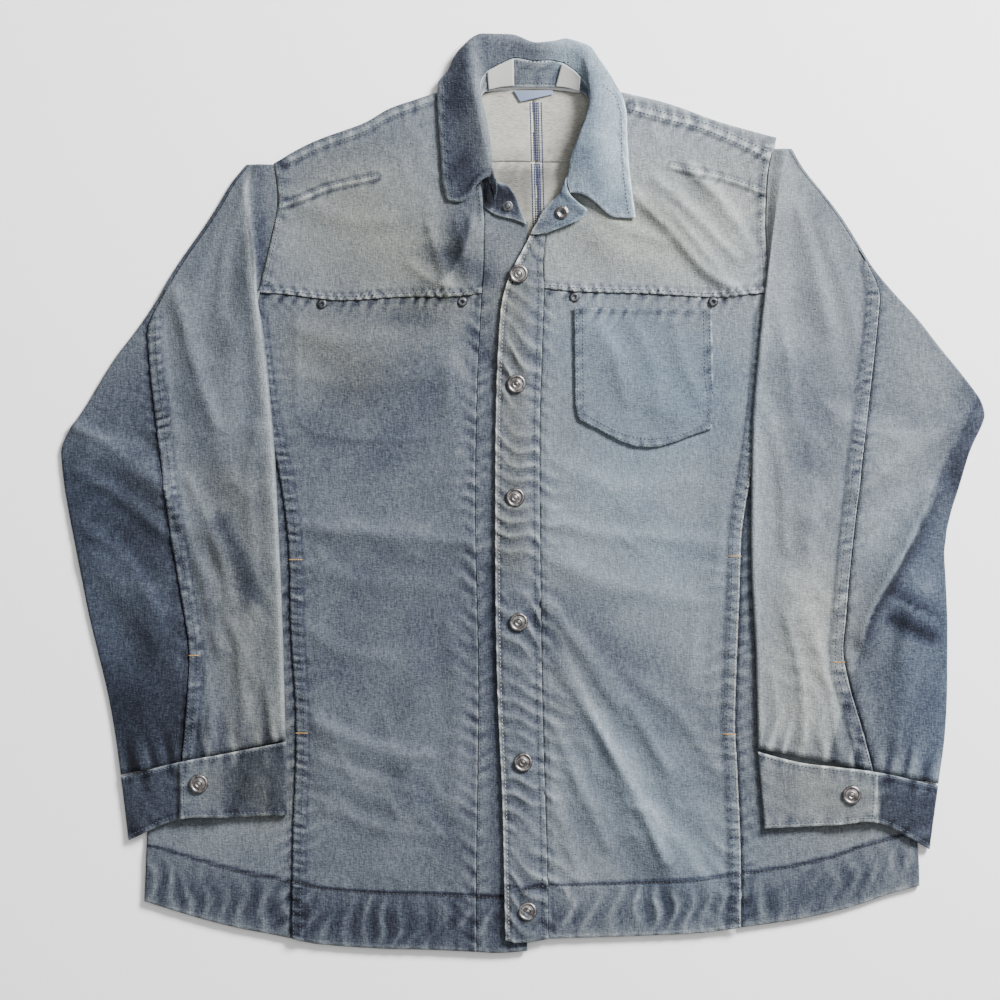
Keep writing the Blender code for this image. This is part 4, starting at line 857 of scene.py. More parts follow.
def sew_sheet(name, net, finishes, nodes, wall=CLOTH, wash_and_shading=0.5, sun=0.0, seam=None):
    """A cloth piece on the net, in place of the named solids."""
    rows, columns = net.shape[:2]
    cut = bmesh.new()
    bmesh.ops.create_grid(cut, x_segments=columns - 1, y_segments=rows - 1, size=1)
    mesh = bpy.data.meshes.new(name)
    cut.to_mesh(mesh)
    cut.free()
    spot = np.empty(rows * columns * 3)
    mesh.vertices.foreach_get("co", spot)
    spot = spot.reshape(-1, 3)
    column = np.rint((spot[:, 0] + 1) / 2 * (columns - 1)).astype(int)
    row = np.rint((spot[:, 1] + 1) / 2 * (rows - 1)).astype(int)
    mesh.vertices.foreach_set("co", (net[row, column] * MM).ravel())
    # The wash value kept on the points holds painted shade and light as well as the wash.
    for label, values in (("wash_and_shading", wash_and_shading), ("sun", sun), ("seam", NO_SEAM if seam is None else seam)):
        field = mesh.attributes.new(label, "FLOAT", "POINT")
        values = np.broadcast_to(values, (rows, columns))
        field.data.foreach_set("value", values[row, column].astype(np.float32))
    for finish in finishes:
        mesh.materials.append(finish)
    mesh.shade_smooth()
    mesh.update()
    piece = linked(name, mesh)
    thick = piece.modifiers.new("thickness", "SOLIDIFY")
    thick.thickness = wall * MM
    thick.offset = -1
    thick.use_quality_normals = True
    thick.material_offset = len(finishes) - 1
    thick.material_offset_rim = 0
    width, length, area = sheet_sizes(net)
    area = np.clip(area, LEAST_FILL * width * length, width * length)
    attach(piece, "root")
    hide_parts(*nodes)
    DRESSED[name] = piece
    FLAT_SIZES[name] = (round(width * 1000), round(length * 1000), round(area * 1e4))
    print(name, rows, "x", columns, "points, cut", FLAT_SIZES[name][:2], "mm")
    return piece


# %% [markdown]
# Each piece adds the same few things to its net: relief where it faces up, and its wash with its painted
# shade and light.

# %% Relief and tone of a net
def raised(net, amount):
    """The net moved out along the way it faces; what faces the table is moved less."""
    way = facing(net)
    share = np.clip(way[..., 2], 0.12, 1)
    return net + way * (amount * share)[..., None]


def sun_at(x, y):
    """Where the cloth is yellowed (above 0) and where it kept its blue (below 0)."""
    return np.clip(ridge_height(x, y, SUN_SPOTS), -1, 1)


def folds_at(net, *lists):
    total = np.zeros(net.shape[:2])
    for some in lists:
        total = total + ridge_height(net[..., 0], net[..., 1], some)
    return total


def tone_at(net, base, tones, seed=0.0):
    """The tone of a piece: its base, the listed spots, some of them painted shade and light, and broad
    unevenness.
    """
    x, y = net[..., 0], net[..., 1]
    return base + ridge_height(x, y, tones) + UNEVEN * wash_noise(x, y, seed)


# %% [markdown]
# ## Materials
# Denim is a twill: dark warp threads over ecru weft, in fine slanted wales. Washing fades it from
# indigo to a pale blue-grey. The material reads the wash and the painted shade and light of each
# point, adds yarn streaks and speckle, and maps the result to the dye's colours. The same noise
# gives its bump.

# %% Node helpers
def fresh_material(name):
    made = bpy.data.materials.new(name)
    made.use_nodes = True
    nodes = made.node_tree.nodes
    return made, nodes, made.node_tree.links, nodes["Principled BSDF"]


def math_node(nodes, links, kind, first, second=None, clamp=False):
    node = nodes.new("ShaderNodeMath")
    node.operation = kind
    node.use_clamp = clamp
    for place, value in enumerate((first, second)):
        if value is None:
            continue
        if isinstance(value, (int, float)):
            node.inputs[place].default_value = value
        else:
            links.new(value, node.inputs[place])
    return node.outputs[0]


def noise_node(nodes, links, vector, scale, detail=2.0):
    node = nodes.new("ShaderNodeTexNoise")
    node.inputs["Scale"].default_value = scale
    node.inputs["Detail"].default_value = detail
    links.new(vector, node.inputs["Vector"])
    return node.outputs["Fac"]


def point_value(nodes, label):
    """A value that is kept on the points of the mesh."""
    node = nodes.new("ShaderNodeAttribute")
    node.attribute_name = label
    return node.outputs["Fac"]


def ramp_node(nodes, links, source, stops):
    """Colours along a ramp: the first and the last stop are there, the others are added."""
    node = nodes.new("ShaderNodeValToRGB")
    links.new(source, node.inputs["Fac"])
    held = node.color_ramp.elements
    for element, (place, colour) in zip((held[0], held[-1]), (stops[0], stops[-1])):
        element.position = place
        element.color = (*colour, 1)
    for place, colour in stops[1:-1]:
        held.new(place).color = (*colour, 1)
    return node.outputs["Color"]


def add_bump(nodes, links, shader, source, strength, distance):
    bump = nodes.new("ShaderNodeBump")
    bump.inputs["Strength"].default_value = strength
    bump.inputs["Distance"].default_value = distance
    links.new(source, bump.inputs["Height"])
    links.new(bump.outputs["Normal"], shader.inputs["Normal"])


def turned_coordinates(nodes, links, turn=0.0, stretch=(1, 1, 1)):
    place = nodes.new("ShaderNodeTexCoord")
    mapping = nodes.new("ShaderNodeMapping")
    mapping.inputs["Rotation"].default_value = (0, 0, np.radians(turn))
    mapping.inputs["Scale"].default_value = stretch
    links.new(place.outputs["Object"], mapping.inputs["Vector"])
    return mapping.outputs["Vector"]


# %% [markdown]
# The dye ramp goes from unwashed indigo to the whitened crests. It is read at a wash of 0 to 1,
# where the square of the wash is about the share of light that comes back.

# %% The washed denim
DYE = [
    (0.00, (0.0015, 0.0019, 0.0040)),
    (0.15, (0.0062, 0.0077, 0.0142)),
    (0.30, (0.028, 0.034, 0.050)),
    (0.45, (0.074, 0.085, 0.102)),
    (0.60, (0.133, 0.150, 0.166)),
    (0.75, (0.228, 0.252, 0.268)),
    (1.00, (0.470, 0.495, 0.498)),
]
SUN_TINT = (1.10, 1.03, 0.84, 1.0)
SHADE_TINT = (0.86, 0.99, 1.10, 1.0)
# How much the streaks, weft, wales, speckle and clouds each change the wash
YARN_AMOUNTS = (0.30, 0.14, 0.24, 0.26, 0.13)
# Pale and dark lines beside a seam, along the first SEAM_REACH millimetres; the dark at the seam itself
# and at the stitch row is partly painted shade in their ditches
SEAM_REACH = 10.0
SEAM_EDGE = [(0.0, 0.35), (0.06, 0.56), (0.14, 0.60), (0.19, 0.44), (0.24, 0.57), (0.5, 0.52), (1.0, 0.5)]


def denim(name, grain=0.0, rough=0.92):
    made, nodes, links, shader = fresh_material(name)
    plain = turned_coordinates(nodes, links, grain)
    along = turned_coordinates(nodes, links, grain, (5.5, 1, 1))
    across = turned_coordinates(nodes, links, grain, (1, 5, 1))
    slant = turned_coordinates(nodes, links, grain - 58, (1, 6, 1))
    streaks = noise_node(nodes, links, along, 150, 3)
    weft = noise_node(nodes, links, across, 170, 2)
    wales = noise_node(nodes, links, slant, 210, 1)
    speckle = noise_node(nodes, links, plain, 620, 2)
    cloudy = noise_node(nodes, links, plain, 22, 4)
    # The wash value carries painted shade and light as well as the wash.
    level = point_value(nodes, "wash_and_shading")
    for source, amount in zip((streaks, weft, wales, speckle, cloudy), YARN_AMOUNTS):
        centred = math_node(nodes, links, "SUBTRACT", source, 0.5)
        level = math_node(nodes, links, "ADD", level, math_node(nodes, links, "MULTIPLY", centred, amount))
    near_seam = math_node(nodes, links, "DIVIDE", point_value(nodes, "seam"), SEAM_REACH, True)
    edge = ramp_node(nodes, links, near_seam, [(place, (value,) * 3) for place, value in SEAM_EDGE])
    shade = math_node(nodes, links, "SUBTRACT", edge, 0.5)
    level = math_node(nodes, links, "ADD", level, math_node(nodes, links, "MULTIPLY", shade, 0.5), True)
    colour = ramp_node(nodes, links, level, DYE)
    sun = point_value(nodes, "sun")
    for tint, sign in ((SUN_TINT, 1.0), (SHADE_TINT, -1.0)):
        mix = nodes.new("ShaderNodeMix")
        mix.data_type = "RGBA"
        mix.blend_type = "MULTIPLY"
        amount = math_node(nodes, links, "MULTIPLY", sun, sign, True)
        links.new(amount, mix.inputs["Factor"])
        links.new(colour, mix.inputs["A"])
        mix.inputs["B"].default_value = tint
        colour = mix.outputs["Result"]
    links.new(colour, shader.inputs["Base Color"])
    shader.inputs["Roughness"].default_value = rough
    shader.inputs["Specular IOR Level"].default_value = 0.2
    shader.inputs["Sheen Weight"].default_value = 0.08
    relief = math_node(nodes, links, "ADD", math_node(nodes, links, "MULTIPLY", wales, 0.6), speckle)
    relief = math_node(nodes, links, "ADD", relief, math_node(nodes, links, "MULTIPLY", streaks, 0.7))
    add_bump(nodes, links, shader, relief, 0.75, 0.0006)
    return made


DENIM = denim("washed_denim")
DENIM_SLEEVE_R = denim("washed_denim_sleeve_r", -16)
DENIM_SLEEVE_L = denim("washed_denim_sleeve_l", 14)
DENIM_COLLAR = denim("washed_denim_collar", 72)
print("denim materials made")

# %% [markdown]
# The reverse of denim is ecru, because the weft isn't dyed, with a few blue flecks of warp.

# %% The reverse, the label tape and the metals
ECRU = [(0.35, (0.085, 0.10, 0.125)), (0.6, (0.25, 0.25, 0.23)), (0.85, (0.36, 0.355, 0.315))]


def scaled(colour, amount):
    return tuple(min(1, part * amount) for part in colour)


def reverse_denim(name):
    made, nodes, links, shader = fresh_material(name)
    plain = turned_coordinates(nodes, links)
    slant = turned_coordinates(nodes, links, 50, (1, 5, 1))
    flecks = noise_node(nodes, links, slant, 260, 2)
    cloud = noise_node(nodes, links, plain, 30, 3)
    mixed = math_node(nodes, links, "ADD", math_node(nodes, links, "MULTIPLY", cloud, 0.5), flecks)
    ecru = ramp_node(nodes, links, mixed, ECRU)
    # The ecru is dimmed by the wash value kept on the points, which inside the back is mostly painted
    # shade below the collar and in the neck's V.
    worn = math_node(nodes, links, "MULTIPLY", point_value(nodes, "wash_and_shading"), 1.5)
    shade = math_node(nodes, links, "ADD", worn, 0.22, True)
    dim = nodes.new("ShaderNodeVectorMath")
    dim.operation = "SCALE"
    links.new(ecru, dim.inputs[0])
    links.new(shade, dim.inputs["Scale"])
    links.new(dim.outputs["Vector"], shader.inputs["Base Color"])
    shader.inputs["Roughness"].default_value = 0.95
    shader.inputs["Specular IOR Level"].default_value = 0.15
    add_bump(nodes, links, shader, flecks, 0.3, 0.0005)
    return made


def tape(name, colour):
    made, nodes, links, shader = fresh_material(name)
    rib = noise_node(nodes, links, turned_coordinates(nodes, links, 0, (1, 6, 1)), 500, 2)
    ribbed = ramp_node(nodes, links, rib, [(0, scaled(colour, 0.82)), (1, colour)])
    links.new(ribbed, shader.inputs["Base Color"])
    shader.inputs["Roughness"].default_value = 0.6
    add_bump(nodes, links, shader, rib, 0.2, 0.0003)
    return made


# %% [markdown]
# Worn plating shows dark and bright patches. Thread has a fine twist.

# %% Metal and thread
def worn_metal(name, dark, bright, rough):
    made, nodes, links, shader = fresh_material(name)
    plain = turned_coordinates(nodes, links)
    patches = noise_node(nodes, links, plain, 260, 4)
    worn = ramp_node(nodes, links, patches, [(0.35, dark), (0.68, bright)])
    links.new(worn, shader.inputs["Base Color"])
    shader.inputs["Metallic"].default_value = 1.0
    blotch = nodes.new("ShaderNodeMapRange")
    links.new(patches, blotch.inputs["Value"])
    blotch.inputs["To Min"].default_value = rough + 0.14
    blotch.inputs["To Max"].default_value = rough - 0.08
    links.new(blotch.outputs["Result"], shader.inputs["Roughness"])
    add_bump(nodes, links, shader, noise_node(nodes, links, plain, 900, 2), 0.25, 0.0003)
    return made


def thread(name, colour):
    made, nodes, links, shader = fresh_material(name)
    twist = noise_node(nodes, links, turned_coordinates(nodes, links), 900, 1)
    twisted = ramp_node(nodes, links, twist, [(0, scaled(colour, 0.7)), (1, scaled(colour, 1.3))])
    links.new(twisted, shader.inputs["Base Color"])
    shader.inputs["Roughness"].default_value = 0.7
    return made


REVERSE = reverse_denim("denim_reverse")
LABEL_TAPE = tape("label_tape", (0.36, 0.355, 0.345))
LOOP_TAPE = tape("loop_tape", (0.16, 0.20, 0.30))
CAP_METAL = worn_metal("aged_copper_nickel", (0.085, 0.078, 0.078), (0.31, 0.29, 0.285), 0.36)
DARK_METAL = worn_metal("blackened_metal", (0.03, 0.032, 0.035), (0.16, 0.16, 0.17), 0.4)
THREAD_BLUE = thread("thread_faded_blue", (0.045, 0.058, 0.085))
THREAD_BROWN = thread("thread_dark_brown", (0.022, 0.019, 0.018))
THREAD_PALE = thread("thread_pale", (0.30, 0.27, 0.20))
THREAD_GOLD = thread("thread_gold", (0.36, 0.20, 0.05))
OVERLOCK = thread("thread_navy", (0.02, 0.03, 0.09))
print("materials:", len(bpy.data.materials))


# %% [markdown]
# ## The body
# The back lies on the table. It shows only through the neck, as ecru cloth with a centre seam that
# is overlocked in navy, and from below. Its two halves and the two halves of its yoke are flat.

# %% Back and back yoke
def level_net(flat, height, times_up=3, times_across=3):
    return finer(trimmed(level(flat, height)), times_up, times_across)


back_left = joined((BACK_SEAM_R, SEAM_STEPS), (BACK_ARMHOLE_R, ARMHOLE_STEPS))
back_right = joined((BACK_SEAM_L, SEAM_STEPS), (BACK_ARMHOLE_L, ARMHOLE_STEPS))
back_net_r = level_net(patch(HEM_BACK_R, BACK_YOKE_SEAM_R, back_left, BACK_CENTRE, 16), CLOTH)
back_net_l = level_net(patch(HEM_BACK_L, BACK_YOKE_SEAM_L, BACK_CENTRE, back_right, 16), CLOTH)
shoulder_r = shifted(SHOULDER_R, 0, -SIDE_FOLD)
shoulder_l = shifted(SHOULDER_L, 0, -SIDE_FOLD)
top_r = [*shoulder_r[:-1], *NECK_BACK_R]
top_l = [*NECK_BACK_L[:-1], *shoulder_l]
yoke_side_r = [BACK_YOKE_SEAM_R[0], top_r[0]]
yoke_side_l = [BACK_YOKE_SEAM_L[-1], top_l[-1]]
yoke_net_r = level_net(patch(BACK_YOKE_SEAM_R, top_r, yoke_side_r, YOKE_CENTRE, 16, 4), CLOTH, 8)
yoke_net_l = level_net(patch(BACK_YOKE_SEAM_L, top_l, YOKE_CENTRE, yoke_side_l, 16, 4), CLOTH, 8)


def back_seams(hem, side_seam, yoke_seam):
    return [sewn(hem, 48, 0, 0.25, 16), sewn(BACK_CENTRE), sewn(side_seam), sewn(yoke_seam)]


BACK_SEAMS_R = back_seams(HEM_BACK_R, BACK_SEAM_R, BACK_YOKE_SEAM_R)
BACK_SEAMS_L = back_seams(HEM_BACK_L, BACK_SEAM_L, BACK_YOKE_SEAM_L)


def flat_piece(name, net, seams, nodes, base):
    """A panel on the table: the seams show in its tone, with painted shade in their ditches and in the
    neck, and its faces stay flat.
    """
    _, wash_and_shading, near = seam_work(net[..., 0], net[..., 1], seams)
    tone = tone_at(net, base, BODY_TONES + INSIDE_TONES) + wash_and_shading * 0.6
    return sew_sheet(name, net, [REVERSE, DENIM], nodes, wash_and_shading=tone, seam=near)


flat_piece("back_panel_r", back_net_r, BACK_SEAMS_R, ["back_r"], 0.46)
flat_piece("back_panel_l", back_net_l, BACK_SEAMS_L, ["back_l"], 0.46)
flat_piece("back_yoke_panel_r", yoke_net_r, BACK_SEAMS_R[3:], ["back_yoke_r"], 0.5)
flat_piece("back_yoke_panel_l", yoke_net_l, BACK_SEAMS_L[3:], ["back_yoke_l"], 0.5)

# %% [markdown]
# The fronts lie on the back. Their seams are felled, their hems are turned up deep, and the
# yoke seam above them is puckered like a rope, because the pocket bags are caught in it.

# %% Seams of the fronts
HEM_R = HEM_SIDE_R[:-1] + HEM_FRONT_R[:-1] + HEM_PLACKET_R
HEM_L = HEM_PLACKET_L[:-1] + HEM_FRONT_L[:-1] + HEM_SIDE_L
HEM_WORK = (0.8, 0.22, 18, 5, 0.10, 0.28, 0.34)
HEM_WORK_R = sewn(HEM_R, 49, *HEM_WORK)
HEM_WORK_L = sewn(HEM_L, 47, *HEM_WORK)
FRONT_SEAMS_R = [
    sewn(FRONT_SEAM_R, 10, 0.9, 0.7, 9, 3.5, 0.25, 0.08, 0.14),
    sewn(YOKE_SEAM_R, 2, 0.0, 0.9, 12, 7, 0.5, -0.12, 0.10),
    sewn(PLACKET_SEAM_R, 2, 0.2, 0.7, 15, 10, -0.7, 0.05, 0.06),
    HEM_WORK_R,
]
FRONT_SEAMS_L = [
    sewn(FRONT_SEAM_L, 10, 0.9, 0.7, 9, 3.5, -0.25, 0.10, 0.14),
    sewn(YOKE_SEAM_L, 2, 0.0, 0.9, 12, 7, 0.5, -0.10, 0.08),
    sewn(PLACKET_SEAM_L, 2, 0.0, 0.6, 14, 9, 0.7, 0.02, 0.14),
    HEM_WORK_L,
]
GHOST_POCKET_R = [
    ([(-203, 172), (-203, 110), (-196, 60), (-130, 48), (-75, 52)], 0.5, 3),
    ([(-66, 172), (-66, 110), (-72, 56)], 0.4, 3),
    ([(-186, 0), (-184, -110), (-187, -216)], 0.3, 4),
]
GHOST_POCKET_L = [([(178, -4), (172, -110), (170, -216)], 0.3, 4)]
print("front seams:", len(FRONT_SEAMS_R) + len(FRONT_SEAMS_L))

# %% [markdown]
# Both fronts are made by the same two steps: a net at the front's height with its folds, then a
# sheet with the relief of its seams, and its wash with painted shade and light.

# %% Fronts
UP, ACROSS = 11, 9
RIDGE_SHARE, CREASE_SHARE, LAP_SHARE = 1.25, 1.9, 1.2
SEAM_SHARE = 1.3


def body_folds(net, *folds):
    laps, _ = laps_at(net[..., 0], net[..., 1], FRONT_LAPS)
    return RIDGE_SHARE * folds_at(net, RIDGES) + CREASE_SHARE * folds_at(net, *folds) + LAP_SHARE * laps


def upper_net(flat, top, *folds):
    """A net at the front's height, with the solid's folds and the finer creases."""
    net = finer(trimmed(level(flat, 0)), UP, ACROSS)
    net[..., 2] = FRONT_LOW + top + body_folds(net, *folds)
    return net


def crease_wear_and_shading(net, *folds):
    """Crests of the creases wear pale and their feet stay dark; this is also painted light on the crests
    and painted shade at the feet.
    """
    return 0.030 * folds_at(net, *folds) - 0.010


def body_piece(
    name, net, seams, nodes, base, wall=CLOTH, crumples=FRONT_CRUMPLES, extra=0.0, quiet=1.0
):
    """A sheet of the body; quiet takes down its relief, and extra is a wash of its own."""
    height, wash_and_shading, near = seam_work(net[..., 0], net[..., 1], seams)
    short, crumple_fade_and_shading = crumples_at(net[..., 0], net[..., 1], crumples)
    sun = sun_at(net[..., 0], net[..., 1])
    _, lap_light_and_shading = laps_at(net[..., 0], net[..., 1], FRONT_LAPS)
    # Besides the wash, the tone holds painted light and shade: shadow beyond laps, light and shade of
    # creases and wrinkles, and some listed spots.
    tone = tone_at(net, base, BODY_TONES) + wash_and_shading + lap_light_and_shading + crease_wear_and_shading(net, FRONT_CREASES) + crumple_fade_and_shading + extra
    shaped = raised(net, (SEAM_SHARE * height + short) * quiet)
    return sew_sheet(name, shaped, [DENIM, REVERSE], nodes, wall, tone, sun, near)


seam_r = joined((FRONT_SEAM_R, SEAM_STEPS), ([FRONT_SEAM_R[-1], YOKE_SEAM_R[0]], 1))
seam_l = joined((FRONT_SEAM_L, SEAM_STEPS), ([FRONT_SEAM_L[-1], YOKE_SEAM_L[-1]], 1))
front_flat_r = patch(HEM_FRONT_R, YOKE_SEAM_R, seam_r, PLACKET_SEAM_R, FRONT_STEPS)
front_flat_l = patch(HEM_FRONT_L, YOKE_SEAM_L, PLACKET_SEAM_L, seam_l, FRONT_STEPS)
front_net_r = upper_net(front_flat_r, CLOTH, FRONT_CREASES, GHOST_POCKET_R)
front_net_l = upper_net(front_flat_l, CLOTH, FRONT_CREASES, GHOST_POCKET_L)
body_piece("front_panel_r", front_net_r, FRONT_SEAMS_R, ["front_r"], 0.425)
body_piece("front_panel_l", front_net_l, FRONT_SEAMS_L, ["front_l"], 0.575)

# %% [markdown]
# The front yokes turn over the shoulder fold, down to the table. A dart on each runs from the
# armhole towards the neck, and the right one shows the felled shoulder seam as well.

# %% Front yokes
DART_R = [(-217, 259), (-201, 264), (-174, 275), (-133, 284)]
DART_L = [(134, 294), (150, 290), (186, 282), (218, 270)]
SHOULDER_SEAM_L = [(98, 347), (130, 338), (159, 331), (195, 316), (219, 304)]
SHOULDER_SEAM_R = [(-214, 298), (-180, 314), (-144, 327), (-121, 340), (-84, 354)]
YOKE_SEAMS_R = [
    sewn(YOKE_SEAM_R, 5, 1.0, 1.2, 9, 4, 0.5, 0.16, 0.16),
    sewn(DART_R, 2, 0.9, 0.5, 16, 7, 0.6, 0.12, 0.24),
    sewn(ARMHOLE_TOP_R, 5, 0.4, 0.5, 13, 8, 0.4, 0.06, 0.10),
    sewn(NECKLINE_R, 3, 0.4, 0.4, 14, 8, 0.4, 0.0, 0.08),
    sewn(SHOULDER_SEAM_R, 3, 0.6, 0.5, 15, 6, 0.4, 0.10, 0.14),
]
YOKE_SEAMS_L = [
    sewn(YOKE_SEAM_L, 5, 1.0, 1.2, 9, 4, 0.5, 0.12, 0.16),
    sewn(DART_L, 2, 0.9, 0.5, 16, 7, 0.6, 0.10, 0.20),
    sewn(ARMHOLE_TOP_L, 5, 0.4, 0.5, 13, 8, 0.4, 0.05, 0.12),
    sewn(NECKLINE_L, 3, 0.4, 0.4, 14, 8, 0.4, 0.0, 0.08),
    sewn(SHOULDER_SEAM_L, 4, 0.8, 0.8, 13, 8, 0.5, 0.12, 0.16),
]


# How the cloth turns down over the shoulder fold: how far in and how high each row lies
SHOULDER_LIP = [(0.9, 3.9), (0.2, 3.1), (0.0, 2.0), (0.0, 0.3)]


def yoke_net(seam, neck, armhole, shoulder, side):
    """A front yoke: its upper quarter settles to the fold and turns down over it."""
    inner = shifted(shoulder, 0, -SIDE_FOLD)
    left, right = (armhole, neck) if side < 0 else (neck, armhole)
    flat = patch(seam, inner, [*left[:-1], inner[0]], [*right[:-1], inner[-1]], FRONT_STEPS, 8)
    fine = finer(trimmed(level(flat, 0)), UP, ACROSS)
    settle = ease((np.linspace(0, 1, fine.shape[0]) - 0.75) / 0.25)[:, None]
    folded = FRONT_LOW + CLOTH + body_folds(fine, FRONT_CREASES)
    fine[..., 2] = folded * (1 - settle) + FRONT_TOP * settle
    edge = smooth_curve(shoulder, fine.shape[1])
    lip = [
        np.column_stack([edge[:, 0], edge[:, 1] - inset, np.full(len(edge), height)])
        for inset, height in SHOULDER_LIP
    ]
    return np.concatenate([fine, np.array(lip)])


neck_r = [*PLACKET_TOP_R, *NECKLINE_R[1:]]
neck_l = [*PLACKET_TOP_L, *NECKLINE_L[1:]]
upper_r = yoke_net(YOKE_SEAM_R, neck_r, ARMHOLE_TOP_R, SHOULDER_R, -1)
upper_l = yoke_net(YOKE_SEAM_L, neck_l, ARMHOLE_TOP_L, SHOULDER_L, 1)
body_piece(
    "yoke_panel_r", upper_r, YOKE_SEAMS_R, ["front_yoke_r"], 0.51
)
body_piece(
    "yoke_panel_l", upper_l, YOKE_SEAMS_L, ["front_yoke_l"], 0.655
)

# %% [markdown]
# A side panel runs from the front seam round the folded side edge to a seam under it.

# %% Side panels
# The side panels are darkened along the front seam: painted shadow of the front's felled edge lying over
# them.
SIDE_SEAMS_R = [sewn(FRONT_SEAM_R, 1, 0, 0.5, 13, 14, 0.5, -0.16, 0.10), HEM_WORK_R]
SIDE_SEAMS_L = [sewn(FRONT_SEAM_L, 1, 0, 0.5, 13, 14, -0.5, -0.14, 0.10), HEM_WORK_L]
SIDE_QUIET = 0.45


def side_net(side, hem, edge, armhole, seam, back_hem, back_armhole, back_seam):
    """A side panel: its face from the seam to the fold, the fold, and its back to the seam below."""
    inset = shifted(edge, -side * SIDE_FOLD, 0)
    up = SEAM_STEPS
    if side < 0:
        front = patch([inset[0], *hem[1:]], [inset[-1], *armhole[1:]], inset, seam, 6, up)
        front = front[:, ::-1]
    else:
        front = patch([*hem[:-1], inset[0]], [*armhole[:-1], inset[-1]], seam, inset, 6, up)
    back = patch([inset[0], *back_hem[1:]], [inset[-1], *back_armhole[1:]], inset, back_seam, 3, up)
    front = finer(level(front, FRONT_TOP), 9, 6)
    back = finer(level(back, 0), 9, 4)
    fold = []
    for angle in np.radians((60, 30, 0, -30, -60)):
        column = front[:, -1:].copy()
        column[..., 0] += side * SIDE_FOLD * np.cos(angle)
        column[..., 2] = SIDE_FOLD * (1 + np.sin(angle))
        fold.append(column)
    net = np.concatenate([front, *fold, back], axis=1)
    return trimmed(net[:, ::-1] if side < 0 else net)


side_net_r = side_net(
    -1, HEM_SIDE_R, SIDE_EDGE_R, ARMHOLE_LOW_R, FRONT_SEAM_R,
    [SIDE_EDGE_R[0], (-304, -376), BACK_SEAM_R[0]], BACK_ARMHOLE_LOW_R, BACK_SEAM_R,
)
side_net_l = side_net(
    1, HEM_SIDE_L, SIDE_EDGE_L, ARMHOLE_LOW_L, FRONT_SEAM_L,
    [SIDE_EDGE_L[0], (323, -361), BACK_SEAM_L[0]], BACK_ARMHOLE_LOW_L, BACK_SEAM_L,
)
body_piece(
    "side_panel_r", side_net_r, SIDE_SEAMS_R, ["side_r"], 0.47,
    quiet=SIDE_QUIET,
)
body_piece(
    "side_panel_l", side_net_l, SIDE_SEAMS_L, ["side_l"], 0.50,
    quiet=SIDE_QUIET,
)

# %% [markdown]
# The left front edge is a double band, whitened at its edge and puckered all the way down, with
# short slanting wrinkles. It lies over the right one, which shows only below it.

# %% Plackets and chest pocket
PLACKET_SEAMS_L = [
    sewn(PLACKET_EDGE_L, 3, 0.3, 0.55, 12, 9, 0.8, 0.22, 0.06),
    sewn([*PLACKET_SEAM_L, *PLACKET_TOP_L[1:]], 4, 0.4, 0.6, 15, 10, -0.6, 0.10, 0.05),
    HEM_WORK_L,
]
PLACKET_SEAMS_R = [sewn(PLACKET_SEAM_R, 1, 0.1, 0.5, 15, 9, -0.6, 0.03, 0.03), HEM_WORK_R]
top_edge_r = [(-35, 258), (-16, 251), (5, 244)]
inner_r = joined((PLACKET_SEAM_R, SEAM_STEPS + 1), ([*PLACKET_TOP_R, top_edge_r[0]], PLACKET_TOP_STEPS))
outer_r = [*PLACKET_EDGE_R, top_edge_r[-1]]
band_net_r = upper_net(patch(HEM_PLACKET_R, top_edge_r, inner_r, outer_r, 3), BAND)
top_edge_l = [PLACKET_EDGE_L[-1], PLACKET_TOP_L[-1]]
inner_l = joined((PLACKET_SEAM_L, SEAM_STEPS + 1), (PLACKET_TOP_L, PLACKET_TOP_STEPS))
band_net_l = upper_net(patch(HEM_PLACKET_L, top_edge_l, PLACKET_EDGE_L, inner_l, 4), BAND)
share = np.linspace(0, 1, band_net_l.shape[1])
lap = 1 - ease((share - 0.55) / 0.42)
band_net_l[..., 2] += (BAND + 2 * LAYER_GAP) * lap[None, :]
body_piece(
    "placket_band_r", band_net_r, PLACKET_SEAMS_R, ["placket_r"], 0.425,
    BAND, quiet=0.35,
)
edge_away, _ = near_line(band_net_l[..., 0], band_net_l[..., 1], PLACKET_EDGE_L)
EDGE_FADED = 0.26 * np.exp(-((edge_away / 1.7) ** 2)) - 0.05 * np.exp(-(((edge_away - 4.5) / 2) ** 2))
body_piece(
    "placket_band_l", band_net_l, PLACKET_SEAMS_L, ["placket_l"], 0.475,
    BAND, PLACKET_CRUMPLES, EDGE_FADED,
)
POCKET_LINE = [*POCKET_LEFT[::-1], *POCKET_BOTTOM[1:], *POCKET_RIGHT[1:]]
POCKET_SEAMS = [
    sewn(POCKET_LINE, 3, 0.3, 0.5, 14, 7, 0.4, 0.12, 0.08),
    sewn(POCKET_TOP, 3, 0.4, 0.7, 12, 8, 0.4, -0.08, 0.06),
]
pocket_flat = patch(POCKET_BOTTOM, POCKET_TOP, POCKET_LEFT, POCKET_RIGHT, 7, 8)
pocket_net = finer(level(pocket_flat, 0), 7, 8)
pocket_net[..., 2] = FRONT_TOP + 2 * LAYER_GAP + CLOTH + body_folds(pocket_net, FRONT_CREASES)
body_piece("chest_pocket", pocket_net, POCKET_SEAMS, ["pocket_l"], 0.535)


# %% [markdown]
# ## The sleeves
# A sleeve lies flattened, open at the armhole. Its top piece starts under the ridge at the
# body and ends at the felled seam. The under piece goes on from there, round the outer fold, and
# comes back below. Each row of the net is one slice through it.

# %% Slices of a sleeve
RIDGE_STEPS = 8
RIDGE_TURN = 3.2


def across_at(curve, y):
    """How far across a curve lies at height y."""
    line = smooth_curve(curve, 200)
    order = np.argsort(line[:, 1])
    return float(np.interp(y, line[order, 1], line[order, 0]))


